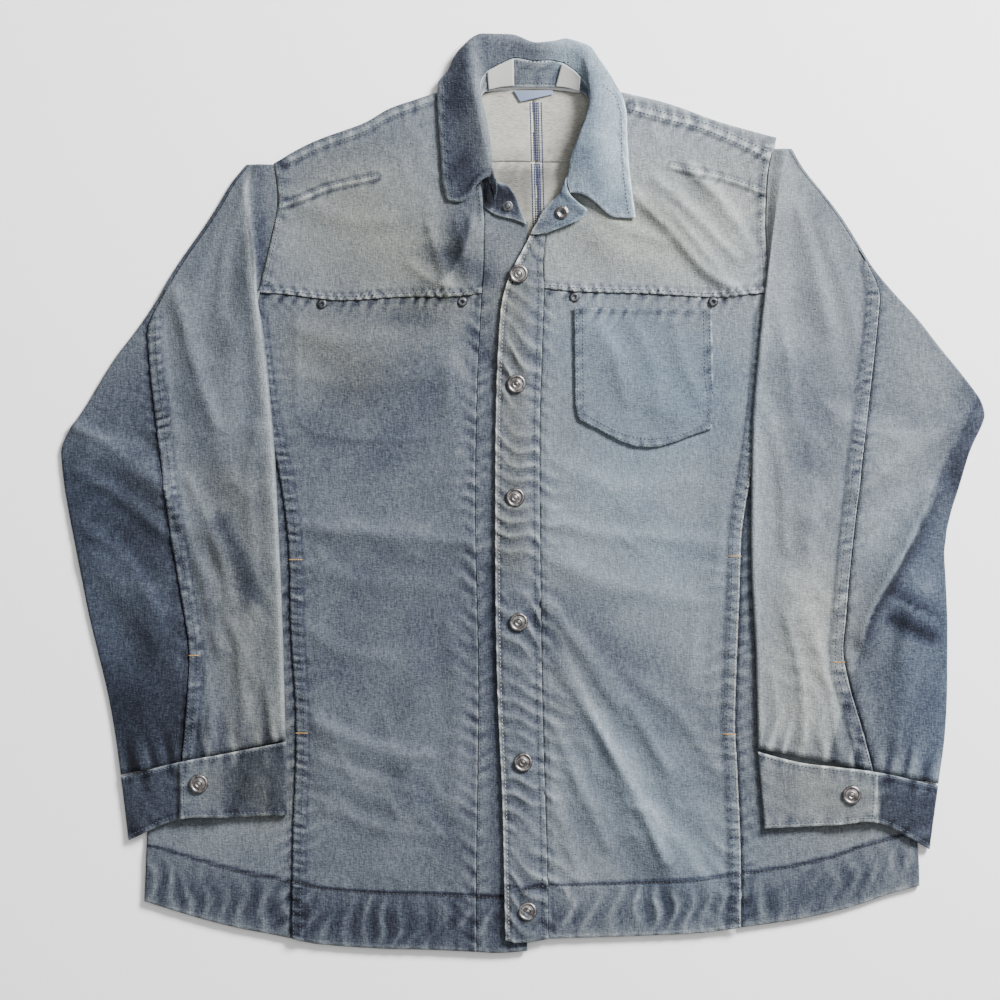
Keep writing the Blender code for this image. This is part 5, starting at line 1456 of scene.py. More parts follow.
def over_body(x, y, edge, side, start=13, end=2):
    """0 on the table beside the body, from start outside its edge, and 1 from end inwards."""
    inside = (across_at(edge, y) - x) * side
    return ease((inside + start) / (start - end))


def spread(first, last, marks, count):
    """Places from first to last, evenly spaced but for the nearest ones, which are put on marks."""
    places = np.linspace(first, last, count)
    step = abs(last - first) / (count - 1)
    for mark in marks:
        near = int(np.argmin(abs(places - mark)))
        if 0 < near < count - 1 and abs(places[near] - mark) < 0.7 * step:
            places[near] = mark
    return places


def underarm_side(side):
    return SIDE_EDGE_R[::-1][1:] if side < 0 else SIDE_EDGE_L[::-1][1:]


# %% [markdown]
# A slice starts at the armhole, climbs the ridge, crosses the face to the outer fold and comes
# back on the table. Near the armhole the two layers lie closer.

# %% Nets of a sleeve
def sleeve_nets(side, outer, inner, seam, armhole, back_armhole, underarm, rows):
    """The nets of the two pieces of a sleeve, without its folds."""
    body_edge = armhole + underarm_side(side)
    front_line = armhole + underarm[1:]
    back_line = back_armhole + underarm[1:]
    seam_start = max(y for _, y in seam)
    tops, unders = [], []
    for count, (y_in, y_out) in enumerate(rows):
        x_in = across_at(inner, y_in)
        x_out = across_at(outer, y_out)

        def height_at(x):
            return y_in + (x - x_in) / (x_out - x_in) * (y_out - y_in)

        def base(x):
            return SLEEVE_LOW * over_body(x, height_at(x), body_edge, side)

        closing = 0.75 + 0.25 * ease(count / 2)

        def top(x):
            low = SLEEVE_LOW * over_body(x, height_at(x), body_edge, side, 26, 8)
            boost = 2.6 * np.exp(-(((x - x_in) / 13) ** 2))
            edge_fade = ease(abs(x - x_out) / 20)
            return low + SLEEVE_DEPTH * closing + boost * edge_fade * closing

        x_front = across_at(front_line, y_in) + side * 0.6
        x_back = across_at(back_line, y_in) + side * 1.6
        body_x = across_at(body_edge, y_in)
        marks = [body_x + side * step for step in (26, 17, 13, 8, 2)]
        reach_in = (x_in * side + RIDGE_TURN) * side
        low, high = SLEEVE_LOW, top(reach_in)
        low_high = (low + high) / 2
        radius = (high - low) / 2
        under_ridge = ease(((x_front - x_in) * side + 4) / 14)
        ridge = []
        for k in range(RIDGE_STEPS):
            share = k / (RIDGE_STEPS - 1)
            slope_x = x_front + (reach_in - x_front) * share
            slope_z = low + (high - low) * ease(share)
            if share <= 0.4:
                turn_x = x_front + (reach_in - x_front) * share / 0.43
                turn_z = low
            else:
                angle = np.pi * ((share - 0.43) / 0.57 - 0.5)
                turn_x = reach_in - side * min(radius, RIDGE_TURN) * np.cos(angle)
                turn_z = low_high + radius * np.sin(angle)
            x = slope_x + (turn_x - slope_x) * under_ridge
            z = slope_z + (turn_z - slope_z) * under_ridge
            ridge.append((x, height_at(x), z))
        fold_x = x_out - side * EDGE_TURN
        x_seam = fold_x
        if y_out < seam_start:
            x_seam = across_at(seam, height_at(across_at(seam, y_out)))
        if (fold_x - x_seam) * side < 1.5:
            x_seam = fold_x - side * 1.5
        inner_face = [(x, height_at(x), top(x)) for x in spread(reach_in, x_seam, marks, 7)[1:]]
        tops.append(ridge + inner_face)
        outer_face = [(x, height_at(x), top(x)) for x in spread(x_seam, fold_x, marks, 5)]
        high, low = top(fold_x), base(fold_x)
        turn = []
        for angle in np.radians((45, 0, -45)):
            x = fold_x + side * EDGE_TURN * np.cos(angle)
            turn.append((x, y_out, (high + low) / 2 + (high - low) / 2 * np.sin(angle)))
        lift = ease((70 - y_in) / 16)
        climb = body_x + side * np.array([12.5, 9.0, 5.5, 2.0])
        limits = sorted((fold_x, x_back))
        under_x = [fold_x, *np.clip(climb, *limits), x_back]
        even = np.linspace(fold_x, x_back, 6)
        under_x = np.array(under_x) * 0.9 * lift + even * (1 - 0.9 * lift)
        under_face = [(x, height_at(x), base(x) * lift) for x in under_x]
        unders.append(outer_face + turn + under_face)
    nets = []
    for columns in (tops, unders):
        net = np.array(columns)[::-1]
        net = net[:, ::-1] if side < 0 else net
        nets.append(trimmed(net, SEAM_GAP))
    return nets


# %% [markdown]
# The face and the under piece of a sleeve take their folds only where they look up. Towards the
# armhole the folds run out.

# %% Sleeves
def sleeve_seams(seam, cuff, under_white):
    """Seams of a sleeve's face, then those of its under piece."""
    at_cuff = (2, 0, 1.0, 17, 24, 0.0)
    face = [sewn(seam, 11, 0.9, 0.75, 9, 3.5, 0.2, 0.07, 0.16), sewn(cuff, *at_cuff, -0.06, 0.05)]
    under = [sewn(seam, 1, 0, 0.4, 13, 8, 0.6, under_white, 0.08), sewn(cuff, *at_cuff, -0.05, 0.05)]
    return face, under


def sleeve_piece(name, net, seams, node, base, finish):
    """A sheet of a sleeve; both its sides have the same finish, so its folds show no reverse."""
    fine = finer(net, 7, 7)
    fine[..., 2] = np.maximum(fine[..., 2], 0.02)
    x, y = fine[..., 0], fine[..., 1]
    height, wash_and_shading, near = seam_work(x, y, seams)
    open_top = ease((310 - y) / 30)
    up = np.clip(facing(fine)[..., 2], 0, 1)
    laps, lap_light_and_shading = laps_at(x, y, SLEEVE_LAPS)
    creases = folds_at(fine, SLEEVE_CREASES)
    short, crumple_fade_and_shading = crumples_at(x, y, SLEEVE_CRUMPLES)
    folds = (1.3 * folds_at(fine, SLEEVE_RIDGES) + 2.0 * creases + laps + short) * open_top * up**2
    shaped = raised(fine, SEAM_SHARE * height + folds)
    shaped[0, :, 1] -= 1.0
    shaped[..., 2] = np.maximum(shaped[..., 2], 0.0)
    sun = sun_at(x, y)
    # Besides the wash, the tone holds painted light and shade of the laps, creases and wrinkles, and some
    # listed spots.
    tone = tone_at(fine, base, SLEEVE_TONES, 2.0) + wash_and_shading + (lap_light_and_shading + crumple_fade_and_shading) * up + 0.022 * creases - 0.01
    return sew_sheet(name, shaped, [finish, finish], [node], wash_and_shading=tone, sun=sun, seam=near)


armhole_r = ARMHOLE_TOP_R[::-1] + ARMHOLE_LOW_R[::-1]
armhole_back_r = [SHOULDER_R[0]] + BACK_ARMHOLE_R[::-1] + BACK_ARMHOLE_LOW_R[1::-1]
armhole_l = ARMHOLE_TOP_L[::-1] + ARMHOLE_LOW_L
armhole_back_l = [SHOULDER_L[-1]] + BACK_ARMHOLE_L[::-1] + BACK_ARMHOLE_LOW_L[1::-1]
nets_r = sleeve_nets(
    -1, SLEEVE_OUT_R, SLEEVE_IN_R, SLEEVE_SEAM_R, armhole_r, armhole_back_r, UNDERARM_R, SLEEVE_ROWS_R
)
nets_l = sleeve_nets(
    1, SLEEVE_OUT_L, SLEEVE_IN_L, SLEEVE_SEAM_L, armhole_l, armhole_back_l, UNDERARM_L, SLEEVE_ROWS_L
)
seams_r = sleeve_seams(SLEEVE_SEAM_R, CUFF_TOP_R, -0.10)
seams_l = sleeve_seams(SLEEVE_SEAM_L, CUFF_TOP_L, -0.12)
for key, (face, under), (face_seams, under_seams), (face_tone, under_tone), finish in (
    ("r", nets_r, seams_r, (0.44, 0.30), DENIM_SLEEVE_R),
    ("l", nets_l, seams_l, (0.565, 0.52), DENIM_SLEEVE_L),
):
    sleeve_piece(
        "sleeve_face_" + key, face, face_seams, "sleeve_top_" + key, face_tone,
        finish,
    )
    sleeve_piece(
        "sleeve_back_" + key, under, under_seams, "sleeve_under_" + key, under_tone,
        finish,
    )

# %% [markdown]
# A cuff is a double band that runs once round the wrist and laps over itself at the vent.

# %% Cuffs
def cuff_net(side, top, low, vent):
    """A cuff: a double band that runs once round the wrist and laps over itself at the vent."""
    edge = SIDE_EDGE_R if side < 0 else SIDE_EDGE_L
    radius = CUFF_DEPTH / 2
    line_top, line_low = smooth_curve(top, 60), smooth_curve(low, 60)
    rows = []
    for share in (0.0, 0.33, 0.67, 1.0):
        line = line_top + (line_low - line_top) * share
        order = np.argsort(line[:, 0])

        def height_at(x):
            return float(np.interp(x, line[order, 0], line[order, 1]))

        x_out, x_in = line[0, 0], line[-1, 0]

        def base(x):
            return SLEEVE_LOW * over_body(x, height_at(x), edge, side, 10, 2.5)

        start = vent - side * CUFF_OVERLAP
        fold_out = x_out - side * radius
        fold_in = x_in + side * radius
        points = [(x, base(x) + CUFF_DEPTH) for x in np.linspace(start, fold_out, 7)]
        for angle in np.radians((45, 0, -45)):
            round_z = base(fold_out) + radius * (1 + np.sin(angle))
            points.append((fold_out + side * radius * np.cos(angle), round_z))
        climb = across_at(edge, line[0, 1]) + side * np.array([10.0, 6.0, 2.5])
        climb = np.clip(climb, *sorted((fold_out, fold_in)))
        under_x = [fold_out, *climb, *np.linspace(vent, fold_in, 4)]
        under_x = np.array(under_x) * 0.97 + np.linspace(fold_out, fold_in, 8) * 0.03
        points += [(x, base(x)) for x in under_x]
        for angle in np.radians((-45, 0, 45)):
            round_z = base(fold_in) + radius * (1 + np.sin(angle))
            points.append((fold_in - side * radius * np.cos(angle), round_z))
        for x in np.linspace(fold_in, vent, 9):
            lap = ease(((x - start) * side + 22) / 16)
            points.append((x, base(x) + CUFF_DEPTH + lap * (BAND + LAYER_GAP)))
        rows.append([(x, height_at(x), z) for x, z in points])
    grid = np.array(rows)[::-1]
    if side < 0:
        grid = grid[:, ::-1]
    return trimmed(grid, 0.5)


# %% [markdown]
# Behind the vent a cuff is darker. Its edges are whitened by wear.

# %% Wash and painted shade of the cuffs
CUFF_TONES = {"r": (0.36, -0.10), "l": (0.52, -0.27)}
# Pale and dark streaks across the cuffs: painted light and shade of their vertical folds.
CUFF_TONES_AT = [
    ([(-290, -248), (-288, -288)], 0.10, 16), ([(-262, -250), (-266, -290)], -0.08, 8),
    ([(-244, -236), (-256, -286)], -0.12, 7), ([(-222, -232), (-222, -288)], -0.08, 8),
    ([(236, -244), (242, -290)], -0.05, 10), ([(270, -250), (268, -294)], 0.04, 16),
]


def cuff_piece(side, top, low, vent, finish):
    key = "r" if side < 0 else "l"
    net = finer(cuff_net(side, top, low, vent), 9, 4)
    x, y = net[..., 0], net[..., 1]
    seams = [
        sewn(top, 4, 0.3, 0.7, 15, 9, 0.2, 0.26, 0.08),
        sewn(low, 4, 0.4, 0.5, 15, 8, 0.3, 0.26, 0.08),
        sewn([(vent, top[1][1]), (vent - side * 4, low[1][1])], 4, 0.3, 0.3, 15, 8, 0.3, 0.14, 0.04),
    ]
    height, wash_and_shading, near = seam_work(x, y, seams)
    base, outer = CUFF_TONES[key]
    behind = ease((side * x - side * vent) / 1.5)
    short, crumple_fade_and_shading = crumples_at(x, y, CUFF_CRUMPLES)
    tone = base + outer * behind + wash_and_shading + 0.02 * wash_noise(x, y, 4.0)
    tone += ridge_height(x, y, CUFF_TONES_AT)
    tone += crumple_fade_and_shading
    shaped = raised(net, height * 0.6 + short)
    shaped[..., 2] = np.maximum(shaped[..., 2], 0.0)
    return sew_sheet(
        "cuff_band_" + key, shaped, [finish, REVERSE], ["cuff_" + key],
        BAND, tone, sun_at(x, y), near,
    )


cuff_piece(-1, CUFF_TOP_R, CUFF_LOW_R, CUFF_VENT_R, DENIM_SLEEVE_R)
cuff_piece(1, CUFF_TOP_L, CUFF_LOW_L, CUFF_VENT_L, DENIM_SLEEVE_L)

# %% [markdown]
# ## The collar
# The stand and the fall are two bands on one surface, parted at their seam. At the back the fall
# rolls over the stand and is tucked flat under it; at the wearer's left end the stand is turned out.

# %% Collar net
def collar_surface():
    """The collar's inner face as a fine grid: stations round the neck, points across it."""
    across = []
    for station in COLLAR:
        line = smooth_curve(station, 200)
        low, high = np.array(station[STAND_POINTS - 2 : STAND_POINTS])
        upright = ease((high[2] - 7) / 3)
        target = high + (low - high) * 0.5 * upright
        meet = int(np.argmin(np.linalg.norm(line - target, axis=1)))
        inner = smooth_curve(line[: meet + 1 : 8], STAND_STEPS + 1)
        outer = smooth_curve(line[meet::4], 100)
        crowded = np.linspace(0, 1, FALL_STEPS + 1) ** ROLL_CROWDING
        outer = outer[np.round(crowded * 99).astype(int)]
        across.append(np.vstack([inner, outer[1:]]))
    return np.array(across)


def refined(stations, between):
    """The same surface with more stations, by a smooth curve through each point's own line."""
    lines = []
    for line in np.swapaxes(stations, 0, 1):
        p = np.vstack([2 * line[0] - line[1], line, 2 * line[-1] - line[-2]])
        new = []
        for a, b, c, d in zip(p, p[1:], p[2:], p[3:]):
            for t in np.arange(between) / between:
                cubic = (2 * a - 5 * b + 4 * c - d) * t**2 + (3 * b - a - 3 * c + d) * t**3
                new.append(0.5 * (2 * b + (c - a) * t + cubic))
        lines.append(new + [line[-1]])
    return np.swapaxes(np.array(lines), 0, 1)


# %% [markdown]
# The right stand end bulges a little towards the neck, and the left one is turned out. The fall's
# edge is stitched and whitened all round.

# %% Collar
collar_net = collar_surface()
STAND_DOME = [
    [(4, 241, 6.6), (-2, 256, 6.8), (-7, 268, 7.0)],
    [(-10, 246, 6.6), (-13, 261, 6.8), (-14, 277, 7.6)],
    [(-23, 249, 6.6), (-23, 264, 7.2), (-23, 280, 9.0)],
    [(-33, 255, 6.6), (-31, 268, 8.4), (-28, 280, 11.5)],
]
ends_r = [smooth_curve(station, STAND_STEPS + 1) for station in STAND_DOME]
ends_l = [smooth_curve(station, STAND_STEPS + 1) for station in STAND_END_L]
stand_net = np.concatenate([ends_r, collar_net[1:, : STAND_STEPS + 1], ends_l])
fall_net = collar_net[:, STAND_STEPS:]
COLLAR_TONES = [
    ([(-45, 262), (-60, 300), (-62, 350), (-52, 395)], -0.12, 14),
    ([(-76, 262), (-79, 320), (-72, 372), (-60, 400)], 0.06, 5),
    ([(-30, 292), (-34, 330), (-42, 372), (-46, 404)], 0.20, 7),
    ([(-20, 410), (20, 405), (44, 405)], 0.06, 8),
    ([(62, 372), (58, 330), (50, 304)], -0.10, 10),
    ([(84, 370), (94, 320), (98, 270)], 0.06, 20),
    ([(100, 250), (72, 264)], -0.06, 10),
    # Painted shadow that the right collar leaf throws on the stand end below it:
    ([(-30, 268), (-12, 268)], -0.30, 13),
    ([(56, 304), (60, 290), (66, 278)], -0.15, 9),
    ([(84, 262), (96, 268)], -0.08, 7),
    ([(72, 322), (88, 300)], 0.05, 9),
    ([(-60, 330), (-66, 300)], 0.07, 10),
    ([(-52, 300), (-66, 288)], -0.06, 6),
    ([(-14, 254), (-2, 250)], -0.06, 8),
]


def collar_piece(name, net, node, base, up, across, strip):
    """The stand, or with strip the fall, whose edge at their seam keeps its own colour."""
    fine = np.swapaxes(finer(net, up, across), 0, 1)
    fine = trimmed(fine, STAND_SEAM_GAP / 2)
    fine[..., 2] = np.maximum(fine[..., 2], 0)
    rows = fine.shape[0]
    step = np.linalg.norm(np.diff(fine, axis=0), axis=-1)
    run = np.concatenate([np.zeros((1, fine.shape[1])), np.cumsum(step, axis=0)])
    edge = run[-1:] - run
    around = np.linalg.norm(np.diff(fine, axis=1), axis=-1)
    along = np.concatenate([np.zeros((rows, 1)), np.cumsum(around, axis=1)], axis=1)
    ends = np.minimum(along, along[:, -1:] - along)
    border = np.minimum(edge, ends) if strip else np.minimum(np.minimum(run, edge), ends)
    puckers = ripple(along, border, 14, 0.7, 3.0)
    fade = np.exp(-((np.maximum(border - 4, 0) / 7) ** 2))
    wash_and_shading = 0.30 * np.exp(-((border / 1.5) ** 2)) + 0.08 * puckers * fade
    # A dark line at the stitch row, partly painted shade in its ditch:
    wash_and_shading -= 0.06 * np.exp(-(((border - 7.5) / 1.6) ** 2))
    height = 0.35 * ease((8 - border) / 1.6) + 0.22 * (1 + puckers) * fade
    calm = ease(ends / 4) * ease(edge / 2)
    shaped = fine + facing(fine) * (height * calm * 0.8)[..., None]
    shaped[..., 2] = np.maximum(shaped[..., 2], 0)
    x, y = fine[..., 0], fine[..., 1]
    side = ease((x - 8) / 30)
    tone = base[0] * (1 - side) + base[1] * side + wash_and_shading + ridge_height(x, y, COLLAR_TONES)
    tone += 0.02 * wash_noise(x, y, 6.0)
    return sew_sheet(
        name, shaped, [DENIM_COLLAR, DENIM_COLLAR], [node],
        CLOTH, tone, -0.9 * side, border,
    )


collar_piece("collar_band", stand_net, "collar_stand", (0.44, 0.50), 6, 6, False)
collar_piece("collar_leaf", fall_net, "collar_fall", (0.36, 0.66), 7, 4, True)
COLLAR_FINE = refined(collar_net[:, : STAND_STEPS + 1], 2)

# %% [markdown]
# Two blank satin labels are sewn to the band, and a plain loop lies below it.

# %% Labels and loop
def label_net(stand, corners):
    (low_a, low_b), (high_a, high_b) = corners
    points = []
    for share in (0.05, 0.35, 0.65, 0.97):
        row = []
        for side in (0.0, 0.5, 1.0):
            first = low_a + (high_a - low_a) * share
            last = low_b + (high_b - low_b) * share
            station = first + (last - first) * side
            low = int(station)
            part = station - low
            line = stand[low] * (1 - part) + stand[low + 1] * part
            near = min(int(share * 3), 2)
            row.append(line[near] + (line[near + 1] - line[near]) * (share * 3 - near))
        points.append(row)
    net = np.array(points)
    return finer(net + facing(net) * LABEL_LIFT, 6, 8)


for key, corners in (("r", CARE_LABEL_R), ("l", CARE_LABEL_L)):
    net = label_net(COLLAR_FINE, corners)
    name, node = "blank_label_" + key, "care_label_" + key
    sew_sheet(name, net, [LABEL_TAPE], [node], LABEL_WALL)
loop_flat = patch(LOOP_LOW, LOOP_TOP, [LOOP_LOW[0], LOOP_TOP[0]], [LOOP_LOW[1], LOOP_TOP[1]], 4, 3)
loop_net = finer(level(loop_flat, CLOTH + LAYER_GAP + LABEL), 4, 6)
loop_net[..., 2] += 0.8 * np.sin(np.linspace(0, np.pi, loop_net.shape[1]))[None, :]
sew_sheet(
    "hanging_loop", loop_net, [LOOP_TAPE], ["neck_loop"], LOOP_WALL
)


# %% [markdown]
# ## Stitches
# Every stitch is a small rounded stub of thread. It is laid on the cloth by a ray from above, so it
# follows each pucker. One row is made at a time, and the rows of one thread are joined.

# %% Lay a row of stitches
bpy.context.view_layer.update()
GRAPH = bpy.context.evaluated_depsgraph_get()
TREES = {}
RAY_START = 0.08
DOWN = Vector((0, 0, -1))


def surface_under(names, x, y):
    """Place and facing of the highest of the named pieces at a point."""
    best = None
    for name in names:
        if name not in TREES:
            TREES[name] = BVHTree.FromObject(DRESSED[name], GRAPH)
        place, normal, _, _ = TREES[name].ray_cast(Vector((x * MM, y * MM, RAY_START)), DOWN)
        if place is not None and (best is None or place.z > best[0].z):
            best = (place, normal)
    return best


def beside(points, away):
    """A line that runs beside another, to its left when away is above 0."""
    line = smooth_curve(points, max(20, int(np.ptp(np.array(points), axis=0).max() / 4)))
    way = np.gradient(line, axis=0)
    way /= np.linalg.norm(way, axis=1, keepdims=True)
    return line + np.column_stack([-way[:, 1], way[:, 0]]) * away


def stitch_row(into, names, line, pitch=3.5, length=2.7, width=0.95):
    """Adds one row along the line; returns how many stitches were laid."""
    run = np.append(0, np.cumsum(np.linalg.norm(np.diff(line, axis=0), axis=1)))
    row = bmesh.new()
    count = 0
    for s in np.arange(pitch / 2, run[-1], pitch):
        x, y = np.interp(s, run, line[:, 0]), np.interp(s, run, line[:, 1])
        found = surface_under(names, x, y)
        if found is None:
            continue
        place, normal = found
        next_x, next_y = np.interp(s + 0.5, run, line[:, 0]), np.interp(s + 0.5, run, line[:, 1])
        ahead = Vector((next_x - x, next_y - y, 0))
        if ahead.length < 1e-6:
            continue
        along = (ahead - normal * ahead.dot(normal)).normalized()
        side = normal.cross(along).normalized()
        turn = Matrix((along, side, normal)).transposed().to_4x4()
        size = Matrix.Diagonal((length / 2 * MM, width / 2 * MM, 0.3 * MM, 1))
        put = Matrix.Translation(place + normal * 0.12 * MM) @ turn @ size
        bmesh.ops.create_uvsphere(row, u_segments=5, v_segments=3, radius=1, matrix=put)
        count += 1
    mesh = bpy.data.meshes.new("row")
    row.to_mesh(mesh)
    row.free()
    into.from_mesh(mesh)
    bpy.data.meshes.remove(mesh)
    return count


# %% [markdown]
# All rows of one thread are one piece.

# %% Thread as a piece
def thread_piece(name, rows, finish, slot="denim_body", **kind):
    """All rows of one thread as a single piece; kind says how its stitches differ."""
    seam = bmesh.new()
    count = sum(stitch_row(seam, names, line, **kind) for names, line in rows)
    bmesh.ops.recalc_face_normals(seam, faces=seam.faces)
    mesh = bpy.data.meshes.new(name)
    seam.to_mesh(mesh)
    seam.free()
    mesh.materials.append(finish)
    mesh.shade_smooth()
    piece = linked(name, mesh)
    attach(piece, "root")
    print(name, count, "stitches")
    return piece


# %% [markdown]
# The rows follow the real ones: two beside each felled seam, one above the hem, one along each
# placket edge, two round the pocket, one round the cuffs and one inside the collar's edge.

# %% Rows on the body
SEAM_ROWS = (1.6, 7.4)
YOKE_R, YOKE_L = ["yoke_panel_r"], ["yoke_panel_l"]
BAND_R, BAND_L = ["placket_band_r"], ["placket_band_l"]
SINGLE_ROWS = [
    (YOKE_R, YOKE_SEAM_R, 3.6), (YOKE_L, YOKE_SEAM_L, 3.6),
    (YOKE_R, DART_R, 1.4), (YOKE_L, DART_L, 1.4),
    (YOKE_R, ARMHOLE_TOP_R, -4), (YOKE_L, ARMHOLE_TOP_L, 4),
    (YOKE_R, NECKLINE_R, 3), (YOKE_L, NECKLINE_L, -3),
    (BAND_R, PLACKET_SEAM_R, -2.5), (BAND_L, PLACKET_SEAM_L, 4.5), (BAND_L, PLACKET_TOP_L, 4.5),
    (["chest_pocket"], POCKET_LINE, 2.4), (["chest_pocket"], POCKET_LINE, 7.6),
]
body_rows, pale_rows = [], []
for away, left_rows in zip(SEAM_ROWS, (pale_rows, body_rows)):
    body_rows.append((["front_panel_r"], beside(FRONT_SEAM_R, -away)))
    left_rows.append((["front_panel_l"], beside(FRONT_SEAM_L, away)))
    body_rows.append((YOKE_L, beside(SHOULDER_SEAM_L, away - 4)))
    body_rows.append((YOKE_R, beside(SHOULDER_SEAM_R, away - 4)))
body_rows += [(names, beside(line, away)) for names, line, away in SINGLE_ROWS]
pale_rows.append((BAND_L, beside(PLACKET_EDGE_L, -3.5)))
hem_rows = [
    (["front_panel_r", "side_panel_r", "placket_band_r"], beside(HEM_R[1:-1], 49.5)),
    (["placket_band_l", "front_panel_l", "side_panel_l"], beside(HEM_L, 47.5)),
]
thread_piece("stitches_body", body_rows, THREAD_BLUE)
thread_piece("stitches_pale", pale_rows, THREAD_PALE)
thread_piece("stitches_hem", hem_rows, THREAD_BROWN, width=1.2)

# %% [markdown]
# The sleeves' seams have two rows on their faces. Cuffs, collar and stand have one near each edge.

# %% Rows on the sleeves, cuffs and collar
sleeve_rows = []
for away in SEAM_ROWS:
    sleeve_rows.append((["sleeve_face_r"], beside(SLEEVE_SEAM_R, away)))
    sleeve_rows.append((["sleeve_face_l"], beside(SLEEVE_SEAM_L, -away)))
for key, top, low, vent, side in (
    ("r", CUFF_TOP_R, CUFF_LOW_R, CUFF_VENT_R, -1),
    ("l", CUFF_TOP_L, CUFF_LOW_L, CUFF_VENT_L, 1),
):
    band = ["cuff_band_" + key]
    sleeve_rows.append((band, beside(top, side * 3.2)))
    sleeve_rows.append((band, beside(low, -side * 4.0)))
    vent_line = [(vent - side * 4, top[1][1] - 6), (vent - side * 5, low[1][1] + 6)]
    sleeve_rows.append((band, smooth_curve(vent_line, 10)))
for stations in (COLLAR[:7], COLLAR[13:]):
    leaf_edge = smooth_curve([station[-1][:2] for station in stations], 60)
    sleeve_rows.append((["collar_leaf"], beside(leaf_edge[::3], -6.5)))
neck_back = [(-30, 368), (8, 369), (48, 367)]
seam_back = [(-24, 386), (8, 388), (42, 387)]
turned_out = [(15, 246), (30, 241), (45, 246), (58, 258)]
sleeve_rows.append((["collar_band"], smooth_curve(neck_back, 30)))
sleeve_rows.append((["collar_band", "collar_leaf"], smooth_curve(seam_back, 30)))
sleeve_rows.append((["collar_band"], smooth_curve(turned_out, 20)))
thread_piece("stitches_sleeves", sleeve_rows, THREAD_BLUE, "denim_sleeve_light")

# %% [markdown]
# Bar tacks close each pocket mouth and each sleeve vent: short dense bars of golden thread. Inside
# the back, the centre seam is overlocked in navy.

# %% Bar tacks and the overlocked seam
BAR_TACKS = [
    (["front_panel_r"], (-205, -60), 12), (["front_panel_r"], (-200, -216), 12),
    (["front_panel_l"], (191, -57), 12), (["front_panel_l"], (186, -217), 12),
    (["sleeve_face_r"], (-297, -146), 11), (["sleeve_face_l"], (285, -152), 11),
]
tack_rows = []
for names, (x, y), reach in BAR_TACKS:
    bar = np.column_stack([np.linspace(x - reach / 2, x + reach / 2, 12), np.full(12, float(y))])
    tack_rows.append((names, bar))
thread_piece("bar_tacks", tack_rows, THREAD_GOLD, pitch=0.9, length=3.4, width=1.1)
BACKS = ["back_panel_r", "back_panel_l", "back_yoke_panel_r", "back_yoke_panel_l"]
centre_rows = []
for away in (-5.0, -2.6, -1.0, 0.6, 2.2, 5.0):
    line = np.column_stack([np.linspace(11.5, 14.5, 60) + away, np.linspace(352, 235, 60)])
    centre_rows.append((BACKS, line))
thread_piece("overlocked_seam", centre_rows, OVERLOCK, "denim_inside", pitch=2.2, width=1.5)

# %% [markdown]
# ## Metal
# A snap cap is a shallow dome with a rolled rim and stepped plain rings.

# %% Snap caps
SNAP_COUNT = 6
CAP = [
    (0.0, 2.35), (1.2, 2.35), (1.6, 2.05), (2.1, 2.0), (2.5, 2.35), (3.1, 2.45), (3.6, 2.15), (5.6, 2.0),
    (6.0, 2.35), (6.8, 2.75), (7.7, 2.6), (8.3, 2.0), (8.5, 1.2), (8.3, 0.5), (7.6, 0.0), (0.0, 0.0),
]


def spun_cap(name, profile, node, finish, sides=48):
    """A round metal piece turned from its profile of radius and height, in the place of its solid."""
    low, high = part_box(node)
    place = ((low[0] + high[0]) / 2, (low[1] + high[1]) / 2, low[2])
    turn = bmesh.new()
    points = [turn.verts.new((r * MM, 0, z * MM)) for r, z in profile]
    for a, b in zip(points, points[1:]):
        turn.edges.new((a, b))
    bmesh.ops.spin(
        turn, geom=turn.verts[:] + turn.edges[:], cent=(0, 0, 0), axis=(0, 0, 1),
        angle=2 * np.pi, steps=sides, use_merge=True,
    )
    bmesh.ops.remove_doubles(turn, verts=turn.verts, dist=1e-6)
    bmesh.ops.recalc_face_normals(turn, faces=turn.faces)
    bmesh.ops.translate(turn, verts=turn.verts, vec=place)
    mesh = bpy.data.meshes.new(name)
    turn.to_mesh(mesh)
    turn.free()
    mesh.materials.append(finish)
    mesh.shade_smooth()
    mesh.set_sharp_from_angle(angle=np.radians(40))
    piece = linked(name, mesh)
    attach(piece, "root")
    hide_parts(node)


for number in range(1, SNAP_COUNT + 1):
    spun_cap("snap_cap_%d" % number, CAP, "snap_%d" % number, CAP_METAL)
for key in ("r", "l"):
    spun_cap("cuff_cap_" + key, CAP, "cuff_snap_" + key, CAP_METAL)
print("snap caps:", SNAP_COUNT + 2)

# %% [markdown]
# The open neck snap and the four vent eyelets are turned in the same way, in darker metal.

# %% Stud, socket and eyelets
STUD = [
    (0, 3.2), (1.6, 3.4), (2.4, 3.0), (2.6, 2.4), (2.2, 1.6), (2.4, 1.1), (4.2, 1.0), (5.0, 0.6),
    (5.0, 0.0), (0, 0),
]
EYELET = [
    (1.5, 0.0), (1.4, 0.7), (1.8, 1.25), (2.6, 1.45), (3.6, 1.2), (4.4, 0.7), (4.6, 0.2), (4.5, 0.0),
    (1.5, 0.0),
]
spun_cap("stud_post", STUD, "neck_stud", DARK_METAL, 32)
for number in range(1, 5):
    spun_cap("eyelet_ring_%d" % number, EYELET, "eyelet_%d" % number, DARK_METAL, 32)
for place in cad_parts["neck_socket"].material_slots:
    place.material = CAP_METAL
print("the socket keeps its solid")

# %% [markdown]
# ## Floor, light and camera
# The photograph looks straight down on a white ground. The key light comes softly from the upper
# right, so ridges are pale on that side and the left half of the jacket is a little darker.

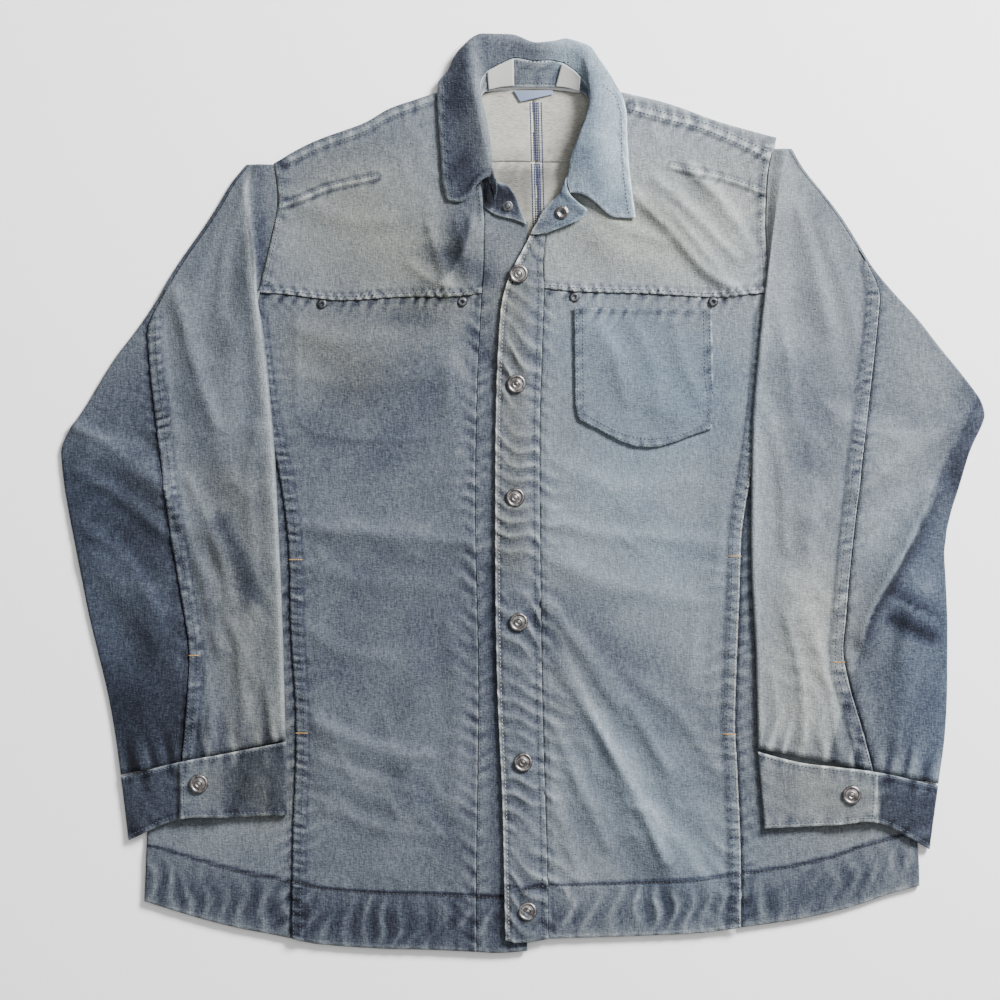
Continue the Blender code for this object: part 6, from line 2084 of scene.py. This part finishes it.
# %% Floor
ground = bmesh.new()
bmesh.ops.create_grid(ground, x_segments=1, y_segments=1, size=3)
floor_mesh = bpy.data.meshes.new("floor")
ground.to_mesh(floor_mesh)
ground.free()
floor = linked("floor", floor_mesh)
floor.location.z = -0.0004
white, nodes, links, shader = fresh_material("pale_ground")
cloudy = noise_node(nodes, links, turned_coordinates(nodes, links), 3, 1)
tint = ramp_node(nodes, links, cloudy, [(0, (0.93,) * 3), (1, (0.95,) * 3)])
links.new(tint, shader.inputs["Base Color"])
shader.inputs["Roughness"].default_value = 0.9
floor_mesh.materials.append(white)
print("floor laid")

# %% [markdown]
# One wide lamp stands off to the upper right, a weak one hangs overhead, and a white world fills in.

# %% Lights
def soft_light(name, place, size, power):
    lamp = bpy.data.lights.new(name, "AREA")
    lamp.shape = "SQUARE"
    lamp.size = size
    lamp.energy = power
    made = linked(name, lamp)
    made.location = place
    made.rotation_euler = (-Vector(place)).to_track_quat("-Z", "Y").to_euler()
    print(name, power, "W")


soft_light("key", (1.95, 1.95, 1.75), 1.0, 420)
soft_light("overhead", (0.3, 0.1, 2.4), 2.0, 20)
world = bpy.data.worlds.new("studio")
bpy.context.scene.world = world
world.use_nodes = True
world.node_tree.nodes["Background"].inputs["Color"].default_value = (1, 1, 1, 1)
world.node_tree.nodes["Background"].inputs["Strength"].default_value = 0.38

# %% [markdown]
# The camera looks straight down from so high that the edges show no slant. The frame is as wide
# as the photograph's.

# %% Camera
FRAME_CENTRE = (-0.0207, -0.0063)
FRAME_WIDTH = 0.9
CAMERA_HEIGHT = 3.0
CLOTH_TOP = 0.004
SENSOR = 36
lens = bpy.data.cameras.new("camera")
lens.sensor_width = SENSOR
lens.lens = SENSOR * CAMERA_HEIGHT / FRAME_WIDTH
camera = linked("camera", lens)
camera.location = (*FRAME_CENTRE, CAMERA_HEIGHT + CLOTH_TOP)
bpy.context.scene.camera = camera
print("camera", tuple(camera.location))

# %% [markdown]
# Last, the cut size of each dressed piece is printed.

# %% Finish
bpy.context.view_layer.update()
for name, sizes in FLAT_SIZES.items():
    print("cut", name, *sizes)
